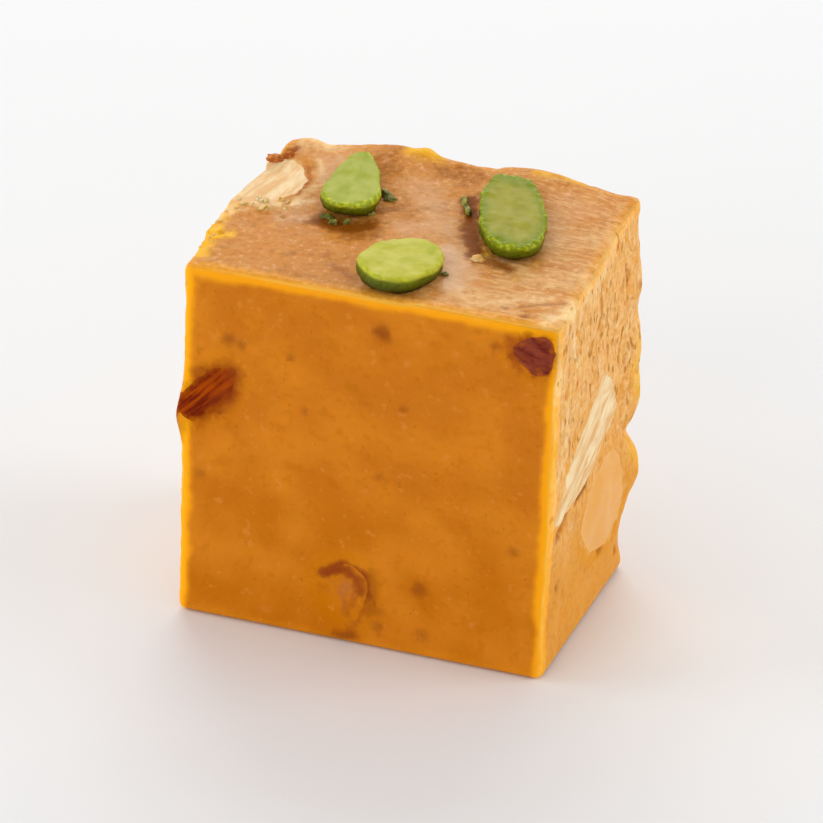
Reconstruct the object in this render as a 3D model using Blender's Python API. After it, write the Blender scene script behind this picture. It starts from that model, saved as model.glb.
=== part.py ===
"""Barfi: one hand-cut cube of milk fudge, with nut pieces cut through at its faces and pistachio slices on top.

The front of the cube faces -Y and its right side faces +X. It rests on z = 0, and the origin is in the
middle of its footprint. Lengths are in metres.
"""
import math

import bmesh
import bpy
from mathutils import Matrix, Vector, noise

MM = 0.001

# The cube as the knife left it: a box, and how far each corner lies from that box (x, y, z)
WIDTH = 42.4 * MM
DEPTH = 28.8 * MM
HEIGHT = 45.1 * MM
EDGE_ROUNDING = 0.9 * MM
CORNER_LEAN = {
    (-1, -1, 1): (-0.05 * MM, -0.70 * MM, -0.95 * MM),
    (1, -1, 1): (0.79 * MM, -0.04 * MM, -0.50 * MM),
    (1, -1, 0): (-0.36 * MM, 0.54 * MM, 0.0),
    (-1, -1, 0): (-0.71 * MM, -0.10 * MM, 0.0),
    (1, 1, 1): (-0.36 * MM, 0.52 * MM, 0.98 * MM),
    (-1, 1, 1): (0.74 * MM, 0.56 * MM, 0.36 * MM),
    (1, 1, 0): (-0.23 * MM, -0.93 * MM, 0.0),
    (-1, 1, 0): (-0.30 * MM, -0.30 * MM, 0.0),
}

# No corner leans further than this from the box
GREATEST_LEAN = 1.2 * MM

# The surface is divided into cells of about this size, fine enough for the lumps and waves below
CELL = 2.0 * MM
CUT_SNAP = 0.02 * MM

# A nut or a slice lies in a pocket that is wider than the piece by this much all round
CLEARANCE = 0.3 * MM

# How deep the waves of each face are, and how long they are along x, y and z. The noise that makes them
# has this many finer layers, each twice as fine as the last and weaker by this exponent
WAVE_LAYERS = 2
WAVE_LAYER_RATIO = 2.0
WAVE_LAYER_FALL = 0.8
FACE_WAVES = {
    "front": (0.16 * MM, (9.0 * MM, 9.0 * MM, 7.0 * MM)),
    "back": (0.60 * MM, (4.2 * MM, 4.2 * MM, 3.8 * MM)),
    "left": (0.55 * MM, (4.2 * MM, 4.5 * MM, 4.5 * MM)),
    "right": (0.40 * MM, (4.0 * MM, 3.2 * MM, 7.5 * MM)),
    "top": (0.40 * MM, (11.0 * MM, 6.0 * MM, 9.0 * MM)),
}
FACE_NORMALS = {
    "front": Vector((0, -1, 0)),
    "back": Vector((0, 1, 0)),
    "left": Vector((-1, 0, 0)),
    "right": Vector((1, 0, 0)),
    "top": Vector((0, 0, 1)),
}

# Lumps and dents: where each one is, how far it spreads, and how far it moves the surface (x, y, z)
LUMPS = {
    "crumb on the rear left corner": ((-18.2, 14.4, 45.5), (1.9, 1.7, 1.6), (0.1, 0.4, 0.9)),
    "dent in front of that crumb": ((-20.4, 10.6, 45.0), (1.3, 1.3, 1.4), (0.4, 0.0, -0.3)),
    "crumb on the rear top edge": ((-4.2, 14.7, 46.3), (1.6, 1.5, 1.3), (0.0, 0.2, 0.7)),
    "rise of the rear top edge, left half": ((-6.5, 14.7, 45.8), (7.0, 5.5, 4.0), (0.0, 0.3, 1.5)),
    "rise of the rear top edge, right half": ((9.5, 14.7, 46.0), (8.0, 5.5, 4.0), (0.0, 0.3, 1.5)),
    "hollow over the pale corner nut": ((-17.8, 5.0, 45.0), (2.8, 4.6, 2.2), (0.0, 0.0, -0.5)),
    "bulge of the left top edge": ((-21.2, 0.6, 44.6), (2.5, 5.5, 4.0), (-0.9, 0.0, 0.1)),
    "swell of the left top edge, front": ((-21.0, -6.5, 44.3), (1.8, 3.6, 1.8), (-0.45, 0.0, 0.15)),
    "ridge beside the right top edge": ((18.8, -9.4, 44.9), (3.0, 0.9, 1.2), (0.0, 0.0, 0.3)),
    "swell of the left almond": ((-21.9, -13.6, 25.6), (2.0, 3.0, 3.2), (-0.7, -0.2, 0.0)),
    "swell of the lower almond": ((-1.8, -14.4, 5.9), (2.6, 1.5, 4.2), (0.0, -0.25, 0.0)),
    "swell of the rear right edge": ((21.2, 13.8, 37.0), (2.4, 3.0, 5.5), (0.8, 0.1, 0.0)),
    "chunk on the rear right edge": ((21.2, 13.6, 25.2), (2.4, 2.8, 5.0), (1.5, 0.3, 0.0)),
    "notch under that chunk": ((21.2, 13.2, 17.4), (2.2, 2.6, 1.3), (-0.7, -0.4, 0.0)),
    "swell of the right side nut": ((21.2, 5.4, 13.4), (2.6, 7.0, 6.0), (0.6, 0.0, 0.0)),
    "rear right edge by that nut": ((21.2, 13.4, 13.0), (2.6, 2.6, 5.0), (1.3, 0.3, 0.0)),
    "chip on the rear right foot": ((21.2, 13.0, 4.2), (2.0, 2.2, 2.2), (-0.4, -0.4, 0.0)),
    "hollow on the left side": ((-21.6, 4.0, 36.5), (2.0, 5.0, 3.0), (0.6, 0.0, 0.0)),
    "hollow on the back": ((-1.5, 14.4, 24.5), (5.5, 2.0, 4.0), (0.0, -0.7, 0.0)),
}

# The crack beside the white sliver on the right side runs from the one end to the other (y, z)
CRACK_UPPER_END = Vector((3.4, 24.2)) * MM
CRACK_LOWER_END = Vector((-11.6, 17.4)) * MM
CRACK_HALF_WIDTH = 1.3 * MM
CRACK_DEPTH = 0.6 * MM

# Nut pieces: centre, length, width and thickness, the way the length points, and the way the width points
NUTS = {
    "almond_left_edge": ((-19.7, -12.8, 27.1), (14.8, 5.0, 5.8), (-0.68, 0.04, -0.73), (0.73, 0.0, -0.68)),
    "almond_upper_right": ((18.9, -13.1, 41.2), (5.2, 5.4, 5.2), (-0.97, 0.05, 0.22), (0.22, 0.0, 0.97)),
    "almond_lower_front": ((-2.0, -12.6, 6.1), (9.6, 6.4, 5.4), (0.08, 0.0, -1.0), (1.0, 0.0, 0.08)),
    "almond_sliver_side": ((20.2, -2.4, 23.3), (22.0, 8.4, 5.6), (0.06, -0.93, -0.36), (0.0, -0.36, 0.93)),
    "almond_left_side": ((-19.2, 3.0, 26.5), (13.0, 8.2, 7.4), (0.1, 0.86, -0.50), (0.0, 0.50, 0.86)),
    "almond_back_lower": ((-7.5, 12.4, 13.6), (14.0, 8.0, 7.2), (0.92, 0.0, 0.38), (-0.38, 0.0, 0.92)),
    "almond_back_skin": ((-12.6, 13.0, 33.2), (7.6, 5.4, 4.8), (0.78, 0.1, -0.60), (0.60, 0.0, 0.78)),
    "nut_chip_left_side": ((-20.0, -5.0, 12.0), (6.4, 4.8, 5.2), (0.0, 0.75, 0.66), (0.0, -0.66, 0.75)),
    "cashew_top_corner": ((-18.7, 5.2, 43.6), (11.4, 8.6, 6.4), (0.18, 1.0, 0.0), (1.0, -0.18, 0.0)),
    "cashew_right_side": ((17.6, 4.6, 13.3), (16.0, 14.2, 12.4), (0.0, 0.86, -0.50), (0.0, 0.50, 0.86)),
    "cashew_back_upper": ((8.2, 12.3, 33.4), (13.6, 7.8, 7.4), (0.96, 0.0, -0.26), (0.26, 0.0, 0.96)),
}
SKIN_PIECES = ("almond_left_edge", "almond_upper_right", "almond_lower_front", "almond_back_skin")
ALMOND_TAPER = 0.34
CASHEW_TAPER = 0.10
CASHEW_BEND = 0.22
BEND_MIDDLE = 0.4

# Pistachio slices: middle (x, y), length, width and thickness, how much the end at the heading narrows,
# and in degrees the heading of the length, the tilt about it and the tilt about the width
SLICES = {
    "pistachio_slice_left": ((-9.0, 5.4), (13.2, 5.6, 2.5), 0.42, (101.0, 2.0, 1.0)),
    "pistachio_slice_right": ((9.8, 4.1), (16.2, 7.2, 2.7), 0.08, (112.0, 2.0, -2.0)),
    "pistachio_slice_front": ((2.1, -9.8), (10.4, 7.2, 3.0), 0.06, (62.0, 8.0, 4.0)),
}
SLICE_SUNK = 0.45 * MM
SLICE_FACE_DOME = 0.12
SLICE_FULLNESS = 0.72
SLICE_BLUNTNESS = 3.0

# How many sides and rings the round pieces have
NUT_SIDES = 14
SLICE_SIDES = 18
PIECE_RINGS = 9

COLOURS = {
    "fudge": ((0.59, 0.20, 0.025), 0.42),
    "nut": ((0.88, 0.60, 0.30), 0.48),
    "almond_skin": ((0.22, 0.045, 0.015), 0.40),
    "pistachio": ((0.36, 0.42, 0.06), 0.45),
}


def empty_scene():
    """Remove everything that a new file holds."""
    for thing in list(bpy.data.objects):
        bpy.data.objects.remove(thing, do_unlink=True)


def new_collection(name):
    """Return a new collection under the scene."""
    collection = bpy.data.collections.new(name)
    bpy.context.scene.collection.children.link(collection)
    return collection


def new_material(name):
    """Return a Principled material in the food's colour."""
    colour, roughness = COLOURS[name]
    material = bpy.data.materials.new(name)
    material.use_nodes = True
    shader = material.node_tree.nodes["Principled BSDF"]
    shader.inputs["Base Color"].default_value = (*colour, 1.0)
    shader.inputs["Roughness"].default_value = roughness
    shader.inputs["Metallic"].default_value = 0.0
    return material


def new_object(name, shape, collection, parent, material=None):
    """Turn a bmesh into a named object."""
    mesh = bpy.data.meshes.new(name)
    shape.to_mesh(mesh)
    shape.free()
    thing = bpy.data.objects.new(name, mesh)
    thing.parent = parent
    collection.objects.link(thing)
    if material:
        mesh.materials.append(material)
    return thing


def make_guide(thing):
    """Keep a cutter or a form out of the model."""
    thing.hide_render = True
    thing.display_type = "WIRE"


def corner_place(side):
    """Return where the sharp corner is on the given side of the box: -1 or 1, -1 or 1, and 0 or 1."""
    box = Vector((side[0] * WIDTH / 2, side[1] * DEPTH / 2, side[2] * HEIGHT))
    return box + Vector(CORNER_LEAN[side])


def top_height(x, y):
    """Return the height of the sloping top at a place, from its four corners."""
    across = x / WIDTH + 0.5
    along = y / DEPTH + 0.5
    front = corner_place((-1, -1, 1)).z * (1 - across) + corner_place((1, -1, 1)).z * across
    rear = corner_place((-1, 1, 1)).z * (1 - across) + corner_place((1, 1, 1)).z * across
    return front * (1 - along) + rear * along


def cut_cube():
    """Return the cube with its corners where the knife left them and its edges rounded."""
    shape = bmesh.new()
    bmesh.ops.create_cube(shape, size=1.0)
    for vertex in shape.verts:
        sides = (math.copysign(1, vertex.co.x), math.copysign(1, vertex.co.y), int(vertex.co.z > 0))
        vertex.co = corner_place(sides)
    bmesh.ops.bevel(shape, geom=shape.edges[:], offset=EDGE_ROUNDING, segments=2, profile=0.5,
                    affect="EDGES")
    return shape


def divide(shape, axis, low, high):
    """Cut the surface into cells between two places on an axis."""
    count = round((high - low) / CELL)
    for step in range(count + 1):
        point = Vector((0, 0, 0))
        point[axis] = low + (high - low) * step / count
        normal = Vector((0, 0, 0))
        normal[axis] = 1
        everything = shape.verts[:] + shape.edges[:] + shape.faces[:]
        bmesh.ops.bisect_plane(shape, geom=everything, dist=CUT_SNAP, plane_co=point, plane_no=normal)


def crack_depth(point):
    """Return how deep the crack on the right side is at a point."""
    run = CRACK_UPPER_END - CRACK_LOWER_END
    place = Vector((point.y, point.z)) - CRACK_LOWER_END
    share = min(max(place.dot(run) / run.length_squared, 0.0), 1.0)
    away = (place - run * share).length
    return CRACK_DEPTH * math.exp(-((away / CRACK_HALF_WIDTH) ** 2))


def surface_move(point, normal):
    """Return how far the waves, lumps and dents move a point of the cube's surface."""
    move = Vector((0, 0, 0))
    for face, (depth, lengths) in FACE_WAVES.items():
        facing = max(normal.dot(FACE_NORMALS[face]), 0.0)
        scaled = Vector([point[axis] / lengths[axis] for axis in range(3)])
        move += normal * facing * depth * noise.fractal(scaled, WAVE_LAYER_FALL, WAVE_LAYER_RATIO, WAVE_LAYERS)
    if normal.x > 0:
        move.x -= crack_depth(point) * normal.x
    for centre, spread, push in LUMPS.values():
        away = sum(((point[axis] / MM - centre[axis]) / spread[axis]) ** 2 for axis in range(3))
        move += Vector(push) * MM * math.exp(-away)
    return move


def block_shape():
    """Return the whole cube with its uneven faces, before any pocket is cut."""
    shape = cut_cube()
    inset = EDGE_ROUNDING + GREATEST_LEAN
    divide(shape, 0, -WIDTH / 2 + inset, WIDTH / 2 - inset)
    divide(shape, 1, -DEPTH / 2 + inset, DEPTH / 2 - inset)
    divide(shape, 2, inset, HEIGHT - inset)
    underside = [face for face in shape.faces if face.normal.z < -0.999]
    bmesh.ops.dissolve_faces(shape, faces=underside)
    shape.normal_update()
    moves = {vertex: surface_move(vertex.co, vertex.normal) for vertex in shape.verts}
    for vertex, move in moves.items():
        height_share = min(vertex.co.z / EDGE_ROUNDING, 1.0)
        vertex.co += move * height_share
    bmesh.ops.triangulate(shape, faces=shape.faces[:])
    return shape


def swell(shape, distance):
    """Move the surface of a round shape outwards."""
    shape.normal_update()
    places = {vertex: vertex.co + vertex.normal * distance for vertex in shape.verts}
    for vertex, place in places.items():
        vertex.co = place


def nut_shape(name, extra=0.0):
    """Return one nut, whole, where it lies in the fudge."""
    centre, size, along, across = NUTS[name]
    taper, bend = (CASHEW_TAPER, CASHEW_BEND) if name.startswith("cashew") else (ALMOND_TAPER, 0.0)
    shape = bmesh.new()
    bmesh.ops.create_uvsphere(shape, u_segments=NUT_SIDES, v_segments=PIECE_RINGS, radius=1.0)
    bmesh.ops.rotate(shape, verts=shape.verts, matrix=Matrix.Rotation(math.pi / 2, 3, "Y"))
    for vertex in shape.verts:
        narrow = 1 - taper * vertex.co.x
        vertex.co.y = vertex.co.y * narrow + bend * (vertex.co.x ** 2 - BEND_MIDDLE)
        vertex.co.z *= narrow
    half = Vector(size) * MM / 2
    x_axis = Vector(along).normalized()
    z_axis = x_axis.cross(Vector(across)).normalized()
    turn = Matrix((x_axis, z_axis.cross(x_axis), z_axis)).transposed().to_4x4()
    place = Matrix.Translation(Vector(centre) * MM) @ turn @ Matrix.Diagonal((*half, 1.0))
    bmesh.ops.transform(shape, matrix=place, verts=shape.verts)
    swell(shape, extra)
    return shape


def slice_shape(name, extra=0.0):
    """Return one pistachio slice, flat above and round below, lying in the top of the cube."""
    (x, y), (length, width, thickness), taper, (heading, roll, pitch) = SLICES[name]
    shape = bmesh.new()
    bmesh.ops.create_uvsphere(shape, u_segments=SLICE_SIDES, v_segments=PIECE_RINGS, radius=1.0)
    for vertex in shape.verts:
        reach = Vector((vertex.co.x, vertex.co.y)).length
        fuller = 1.0
        if reach > 0.001:
            blunt = sum(abs(vertex.co[axis] / reach) ** SLICE_BLUNTNESS for axis in range(2))
            fuller = reach ** (SLICE_FULLNESS - 1) * blunt ** (-1 / SLICE_BLUNTNESS)
        vertex.co.x *= fuller
        vertex.co.y *= fuller * (1 - taper * vertex.co.x)
        if vertex.co.z > 0:
            vertex.co.z *= SLICE_FACE_DOME
    half = Vector((length / 2, width / 2, thickness)) * MM
    rest = top_height(x * MM, y * MM) + thickness * MM - SLICE_SUNK
    turn = (Matrix.Rotation(math.radians(heading), 4, "Z") @ Matrix.Rotation(math.radians(roll), 4, "X")
            @ Matrix.Rotation(math.radians(pitch), 4, "Y"))
    place = Matrix.Translation((x * MM, y * MM, rest)) @ turn @ Matrix.Diagonal((*half, 1.0))
    bmesh.ops.transform(shape, matrix=place, verts=shape.verts)
    swell(shape, extra)
    return shape


def add_boolean(thing, operation, other=None, group=None):
    """Cut or trim an object with another one, or with a whole collection."""
    cut = thing.modifiers.new(operation.lower(), "BOOLEAN")
    cut.operation = operation
    cut.solver = "EXACT"
    if group:
        cut.operand_type = "COLLECTION"
        cut.collection = group
    else:
        cut.object = other


def stand_on_origin(parts, origin):
    """Move the whole model so that its box stands in the middle of the origin."""
    bpy.context.view_layer.update()
    depsgraph = bpy.context.evaluated_depsgraph_get()
    points = []
    for part in parts:
        seen = part.evaluated_get(depsgraph)
        points += [part.matrix_world @ vertex.co for vertex in seen.data.vertices]
    for axis in (0, 1):
        places = [point[axis] for point in points]
        origin.location[axis] = -(min(places) + max(places)) / 2
    origin.location.z = -min(point.z for point in points)


def main():
    empty_scene()
    parts = new_collection("barfi")
    guides = new_collection("guides")
    pockets = new_collection("pockets")
    origin = bpy.data.objects.new("barfi_origin", None)
    parts.objects.link(origin)
    materials = {name: new_material(name) for name in COLOURS}

    form = new_object("uncut_form", block_shape(), guides, origin)
    make_guide(form)
    block = new_object("barfi_block", block_shape(), parts, origin, materials["fudge"])

    pieces = [block]
    for name in NUTS:
        finish = materials["almond_skin"] if name in SKIN_PIECES else materials["nut"]
        nut = new_object(name, nut_shape(name), parts, origin, finish)
        add_boolean(nut, "INTERSECT", other=form)
        pieces.append(nut)
        make_guide(new_object("pocket_" + name, nut_shape(name, CLEARANCE), pockets, origin))
    for name in SLICES:
        piece = new_object(name, slice_shape(name), parts, origin, materials["pistachio"])
        piece.data.shade_smooth()
        pieces.append(piece)
        make_guide(new_object("pocket_" + name, slice_shape(name, CLEARANCE), pockets, origin))

    add_boolean(block, "DIFFERENCE", group=pockets)
    stand_on_origin(pieces, origin)


main()
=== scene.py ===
# %% [markdown]
# # A piece of barfi
#
# Barfi is milk cooked down with sugar and fat until it sets, poured on a tray, scattered with nuts and
# cut by hand. This lesson dresses one cut cube: brown fudge, nut pieces sliced through at its faces,
# and three slices of pistachio pressed into the top. The solids in the frame give every piece its size
# and place.

# %% Load the frame
import math
import random

import bmesh
import bpy
from mathutils import Matrix, Vector, kdtree, noise


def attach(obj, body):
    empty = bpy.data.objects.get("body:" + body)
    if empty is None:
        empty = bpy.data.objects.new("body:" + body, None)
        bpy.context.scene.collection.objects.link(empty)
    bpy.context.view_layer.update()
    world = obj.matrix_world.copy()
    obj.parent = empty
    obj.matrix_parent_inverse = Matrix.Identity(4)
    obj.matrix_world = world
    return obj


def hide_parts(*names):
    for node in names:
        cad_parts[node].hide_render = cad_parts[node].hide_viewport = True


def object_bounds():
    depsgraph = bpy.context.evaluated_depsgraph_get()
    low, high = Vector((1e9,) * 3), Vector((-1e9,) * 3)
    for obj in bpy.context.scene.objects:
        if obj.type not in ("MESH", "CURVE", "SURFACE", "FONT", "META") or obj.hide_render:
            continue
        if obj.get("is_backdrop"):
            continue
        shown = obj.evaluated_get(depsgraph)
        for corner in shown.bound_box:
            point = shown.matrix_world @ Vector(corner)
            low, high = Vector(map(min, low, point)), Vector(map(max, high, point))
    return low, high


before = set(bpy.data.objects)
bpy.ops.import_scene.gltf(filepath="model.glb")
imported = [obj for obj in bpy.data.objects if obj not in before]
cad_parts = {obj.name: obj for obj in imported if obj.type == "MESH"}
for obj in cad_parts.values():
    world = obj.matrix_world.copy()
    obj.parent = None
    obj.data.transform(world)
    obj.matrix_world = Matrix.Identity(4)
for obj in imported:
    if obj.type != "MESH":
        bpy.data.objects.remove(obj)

MM = 0.001
LEAST_WEIGHT = 0.001
cad_low, cad_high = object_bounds()
bpy.ops.object.select_all(action="DESELECT")
print("the solids measure", [round(side / MM, 1) for side in cad_high - cad_low], "mm")

# %% [markdown]
# ## Working by hand, in code
#
# In edit mode a modeller picks a place, grabs it and pulls, and the surface follows with a soft
# falloff. The helpers below do the same: one adds a modifier and applies it, one pulls the nearest
# point with proportional editing, and one writes a number for each point of a mesh, which a material
# can read later.


# %% Helpers that shape pieces
def pick(piece):
    """Make one piece the only selected and active object."""
    bpy.ops.object.select_all(action="DESELECT")
    piece.select_set(True)
    bpy.context.view_layer.objects.active = piece


def finish_piece(piece, kind, **settings):
    """Add a modifier to a piece, set it and apply it."""
    pick(piece)
    modifier = piece.modifiers.new(kind.lower(), kind)
    for name, value in settings.items():
        setattr(modifier, name, value)
    bpy.ops.object.modifier_apply(modifier=modifier.name)


def freeze():
    """Work the place, the turn and the scale of the active object into its mesh."""
    bpy.ops.object.transform_apply(location=True, rotation=True, scale=True)


def remesh(piece, size):
    """Give a piece an even skin of small square faces."""
    finish_piece(piece, "REMESH", mode="VOXEL", voxel_size=size)


def pull(piece, place, move, reach):
    """Grab the surface point nearest to a place and pull it, with a smooth falloff as wide as reach."""
    nearest = min(piece.data.vertices, key=lambda vertex: (vertex.co - place).length_squared).index
    pick(piece)
    bpy.ops.object.mode_set(mode="EDIT")
    bpy.ops.mesh.select_mode(type="VERT")
    bpy.ops.mesh.select_all(action="DESELECT")
    shape = bmesh.from_edit_mesh(piece.data)
    shape.verts.ensure_lookup_table()
    shape.verts[nearest].select_set(True)
    bmesh.update_edit_mesh(piece.data)
    bpy.ops.transform.translate(value=move, use_proportional_edit=True, proportional_edit_falloff="SMOOTH",
                                proportional_size=reach)
    bpy.ops.object.mode_set(mode="OBJECT")


def merge_slivers(piece, distance):
    """Merge points that lie closer together than a distance."""
    pick(piece)
    bpy.ops.object.mode_set(mode="EDIT")
    bpy.ops.mesh.select_all(action="SELECT")
    bpy.ops.mesh.remove_doubles(threshold=distance)
    bpy.ops.mesh.dissolve_degenerate(threshold=distance / 2)
    bpy.ops.object.mode_set(mode="OBJECT")


def weigh(piece, name, rule):
    """Make a vertex group whose weights a rule gives from each point's place and normal."""
    group = piece.vertex_groups.new(name=name)
    for vertex in piece.data.vertices:
        weight = rule(vertex.co, vertex.normal)
        if weight > LEAST_WEIGHT:
            group.add([vertex.index], min(weight, 1.0), "REPLACE")


def roughen(piece, size, depth, group="", stretch=(1, 1, 1), octaves=1):
    """Displace a piece along its normals by clouds whose grains have the given size."""
    texture = bpy.data.textures.new("clouds", "CLOUDS")
    texture.noise_scale = size
    texture.noise_depth = octaves
    stretcher = bpy.data.objects.new("stretcher", None)
    stretcher.scale = stretch
    bpy.context.scene.collection.objects.link(stretcher)
    bpy.context.view_layer.update()
    finish_piece(piece, "DISPLACE", texture=texture, texture_coords="OBJECT",
                 texture_coords_object=stretcher, strength=depth, mid_level=0.5, vertex_group=group)
    bpy.data.objects.remove(stretcher)


# %% Helpers that measure and mark pieces
def soft_step(low, high, value):
    """Rise smoothly from 0 at low to 1 at high."""
    share = min(max((value - low) / (high - low), 0.0), 1.0)
    return share * share * (3 - 2 * share)


def point_tree(places):
    """Return a tree that quickly finds which of many places are near."""
    tree = kdtree.KDTree(len(places))
    for index, place in enumerate(places):
        tree.insert(place, index)
    tree.balance()
    return tree


def uneven(place, *waves):
    """Return a number about 1 that changes from place to place, by waves of given depths and sizes."""
    number = 1.0
    for depth, size in waves:
        number += depth * noise.noise(place / size)
    return number


def to_line(place, start, end):
    """Return how far a place is from a straight line between two ends."""
    run = end - start
    share = min(max((place - start).dot(run) / run.length_squared, 0.0), 1.0) if run.length else 0.0
    return (place - start - run * share).length


def write_numbers(piece, name, numbers):
    """Store one number for each point of a piece."""
    piece.data.attributes.new(name, "FLOAT", "POINT").data.foreach_set("value", numbers)


def write_values(piece, name, rule):
    """Store for each point of a piece the number that a rule gives from its place and normal."""
    write_numbers(piece, name, [rule(vertex.co, vertex.normal) for vertex in piece.data.vertices])


def write_places(piece, name, matrix):
    """Store each point's place in another set of axes."""
    numbers = [number for vertex in piece.data.vertices for number in matrix @ vertex.co]
    piece.data.attributes.new(name, "FLOAT_VECTOR", "POINT").data.foreach_set("vector", numbers)


def settle(piece, slot, *nodes):
    """Let a finished piece ride with the cube and stand for its solids; its slot is not used."""
    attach(piece, "root")
    if nodes:
        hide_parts(*nodes)


# %% [markdown]
# ## Shader sums as Python sums
#
# A material is a graph, but its sums are easier to read as an expression. This class wraps a socket, so
# that `1 - mask` or `grain * 0.3` adds the Math node by itself. Colours go through Mix nodes, because a
# Math node would turn them grey.


# %% The socket class and the finish class
class Value:
    """A socket that takes part in sums."""

    def __init__(self, finish, socket):
        self.finish = finish
        self.socket = socket

    def sum(self, operation, first, second):
        return self.finish.node("ShaderNodeMath", {"operation": operation}, {0: first, 1: second})

    def __add__(self, other):
        return self.sum("ADD", self, other)

    def __sub__(self, other):
        return self.sum("SUBTRACT", self, other)

    def __rsub__(self, other):
        return self.sum("SUBTRACT", other, self)

    def __mul__(self, other):
        return self.sum("MULTIPLY", self, other)

    __radd__ = __add__


class Finish:
    """A material in the making."""

    def __init__(self, name, **constants):
        self.material = bpy.data.materials.new(name)
        self.material.use_nodes = True
        self.nodes = self.material.node_tree.nodes
        self.links = self.material.node_tree.links
        self.shader = self.nodes["Principled BSDF"]
        for socket, value in constants.items():
            self.shader.inputs[socket.replace("_", " ")].default_value = value
        self.object_place = self.node("ShaderNodeTexCoord", {}, {}, "Object")

    def node(self, kind, settings, sockets, output=0):
        """Add a node: its settings first, then the values or links of its sockets. Return its output."""
        made = self.nodes.new(kind)
        for name, value in settings.items():
            setattr(made, name, value)
        for name, value in sockets.items():
            self.connect(value, made.inputs[name])
        return Value(self, made.outputs[output])

    def connect(self, value, socket):
        """Link a value to a socket, or set the socket to a number, a colour or a vector."""
        if isinstance(value, Value):
            self.links.new(value.socket, socket)
        elif socket.type == "RGBA":
            socket.default_value = (*value[:3], 1.0)
        else:
            socket.default_value = value

    def scaled(self, size, place, stretch):
        """Return places measured in grains of the given size, stretched along x, y and z."""
        return self.node("ShaderNodeMapping", {"vector_type": "POINT"},
                         {"Vector": place or self.object_place,
                          "Scale": tuple(1 / (size * share) for share in stretch)})

    def noise(self, size, detail=2.0, rough=0.5, place=None, stretch=(1, 1, 1)):
        """Return noise whose grains have the given size, about 0.5 in the middle."""
        return self.node("ShaderNodeTexNoise", {},
                         {"Vector": self.scaled(size, place, stretch), "Scale": 1.0,
                          "Detail": detail, "Roughness": rough})

    def stored(self, name, output="Fac"):
        """Return what a piece stores for each of its points."""
        return self.node("ShaderNodeAttribute", {"attribute_name": name}, {}, output)

    def axis(self, letter, place=None):
        """Return how far along one axis a point lies."""
        return self.node("ShaderNodeSeparateXYZ", {}, {"Vector": place or self.object_place}, letter)

    def step(self, value, low, high):
        """Rise smoothly from 0 at low to 1 at high, or fall where low is above high."""
        return self.node("ShaderNodeMapRange", {"interpolation_type": "SMOOTHSTEP"},
                         {"Value": value, "From Min": low, "From Max": high})

    def mix(self, first, second, share):
        """Mix two colours."""
        made = self.nodes.new("ShaderNodeMix")
        made.data_type = "RGBA"
        self.connect(share, made.inputs[0])
        self.connect(first, made.inputs[6])
        self.connect(second, made.inputs[7])
        return Value(self, made.outputs[2])

    def layered(self, colour, layers):
        """Lay named tints over a colour in turn, each as strongly as its share says."""
        for tint, share in layers.values():
            colour = self.mix(colour, tint, share)
        return colour

    def surface(self, colour, roughness, height, distance):
        """Give the shader its colour, its roughness and the height of its grain."""
        self.connect(colour, self.shader.inputs["Base Color"])
        self.connect(roughness, self.shader.inputs["Roughness"])
        normal = self.node("ShaderNodeBump", {}, {"Height": height, "Distance": distance})
        self.connect(normal, self.shader.inputs["Normal"])

    def firm(self, share):
        """Where the share is 1, a twin shader that scatters no light takes over."""
        twin = self.nodes.new("ShaderNodeBsdfPrincipled")
        for own, other in zip(self.shader.inputs, twin.inputs):
            if own.is_linked:
                self.links.new(own.links[0].from_socket, other)
            elif hasattr(own, "default_value"):
                other.default_value = own.default_value
        twin.inputs["Subsurface Weight"].default_value = 0.0
        twin.inputs["Specular IOR Level"].default_value = 0.0
        blend = self.node("ShaderNodeMixShader", {}, {0: share})
        self.links.new(self.shader.outputs[0], blend.socket.node.inputs[1])
        self.links.new(twin.outputs[0], blend.socket.node.inputs[2])
        self.links.new(blend.socket, self.nodes["Material Output"].inputs["Surface"])

    def wear(self, piece):
        """Put the material on a piece."""
        piece.data.materials.clear()
        piece.data.materials.append(self.material)


# %% [markdown]
# ## The cube's corners
#
# A hand-held knife leaves no true box: each corner leans a millimetre or so its own way. The cube
# primitive is set up at its nominal size and each corner is then dragged to where the cut left it, as
# one would in edit mode. The edges get a small bevel, because fudge rounds under the knife, and a voxel
# remesh turns the few big faces into an even skin that can be pulled about.

# %% Corner places
OFF_CENTRE = Vector((-0.15, -0.15, 0.0)) * MM
CUBE_SIZE = Vector((42.4, 28.8, 45.1)) * MM
EDGE_ROUNDING = 0.85 * MM
SKIN_SIZE = 0.36 * MM
CORNER_LEAN = {
    (-1, -1, 1): (-0.05, -0.70, -0.95),
    (1, -1, 1): (0.79, -0.04, -0.50),
    (1, -1, 0): (-0.36, 0.54, 0.0),
    (-1, -1, 0): (-0.71, -0.10, 0.0),
    (1, 1, 1): (-0.36, 0.52, 0.98),
    (-1, 1, 1): (0.74, 0.56, 0.36),
    (1, 1, 0): (-0.23, -0.93, 0.0),
    (-1, 1, 0): (-0.30, -0.30, 0.0),
}


def at(x, y, z):
    """Return a place on the cube, given in millimetres from the middle of its nominal box."""
    return Vector((x, y, z)) * MM + OFF_CENTRE


def corner(side):
    """Return where the sharp corner on one side of the cube is."""
    nominal = Vector((side[0] * CUBE_SIZE.x / 2, side[1] * CUBE_SIZE.y / 2, side[2] * CUBE_SIZE.z))
    return nominal + Vector(CORNER_LEAN[side]) * MM + OFF_CENTRE


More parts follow.
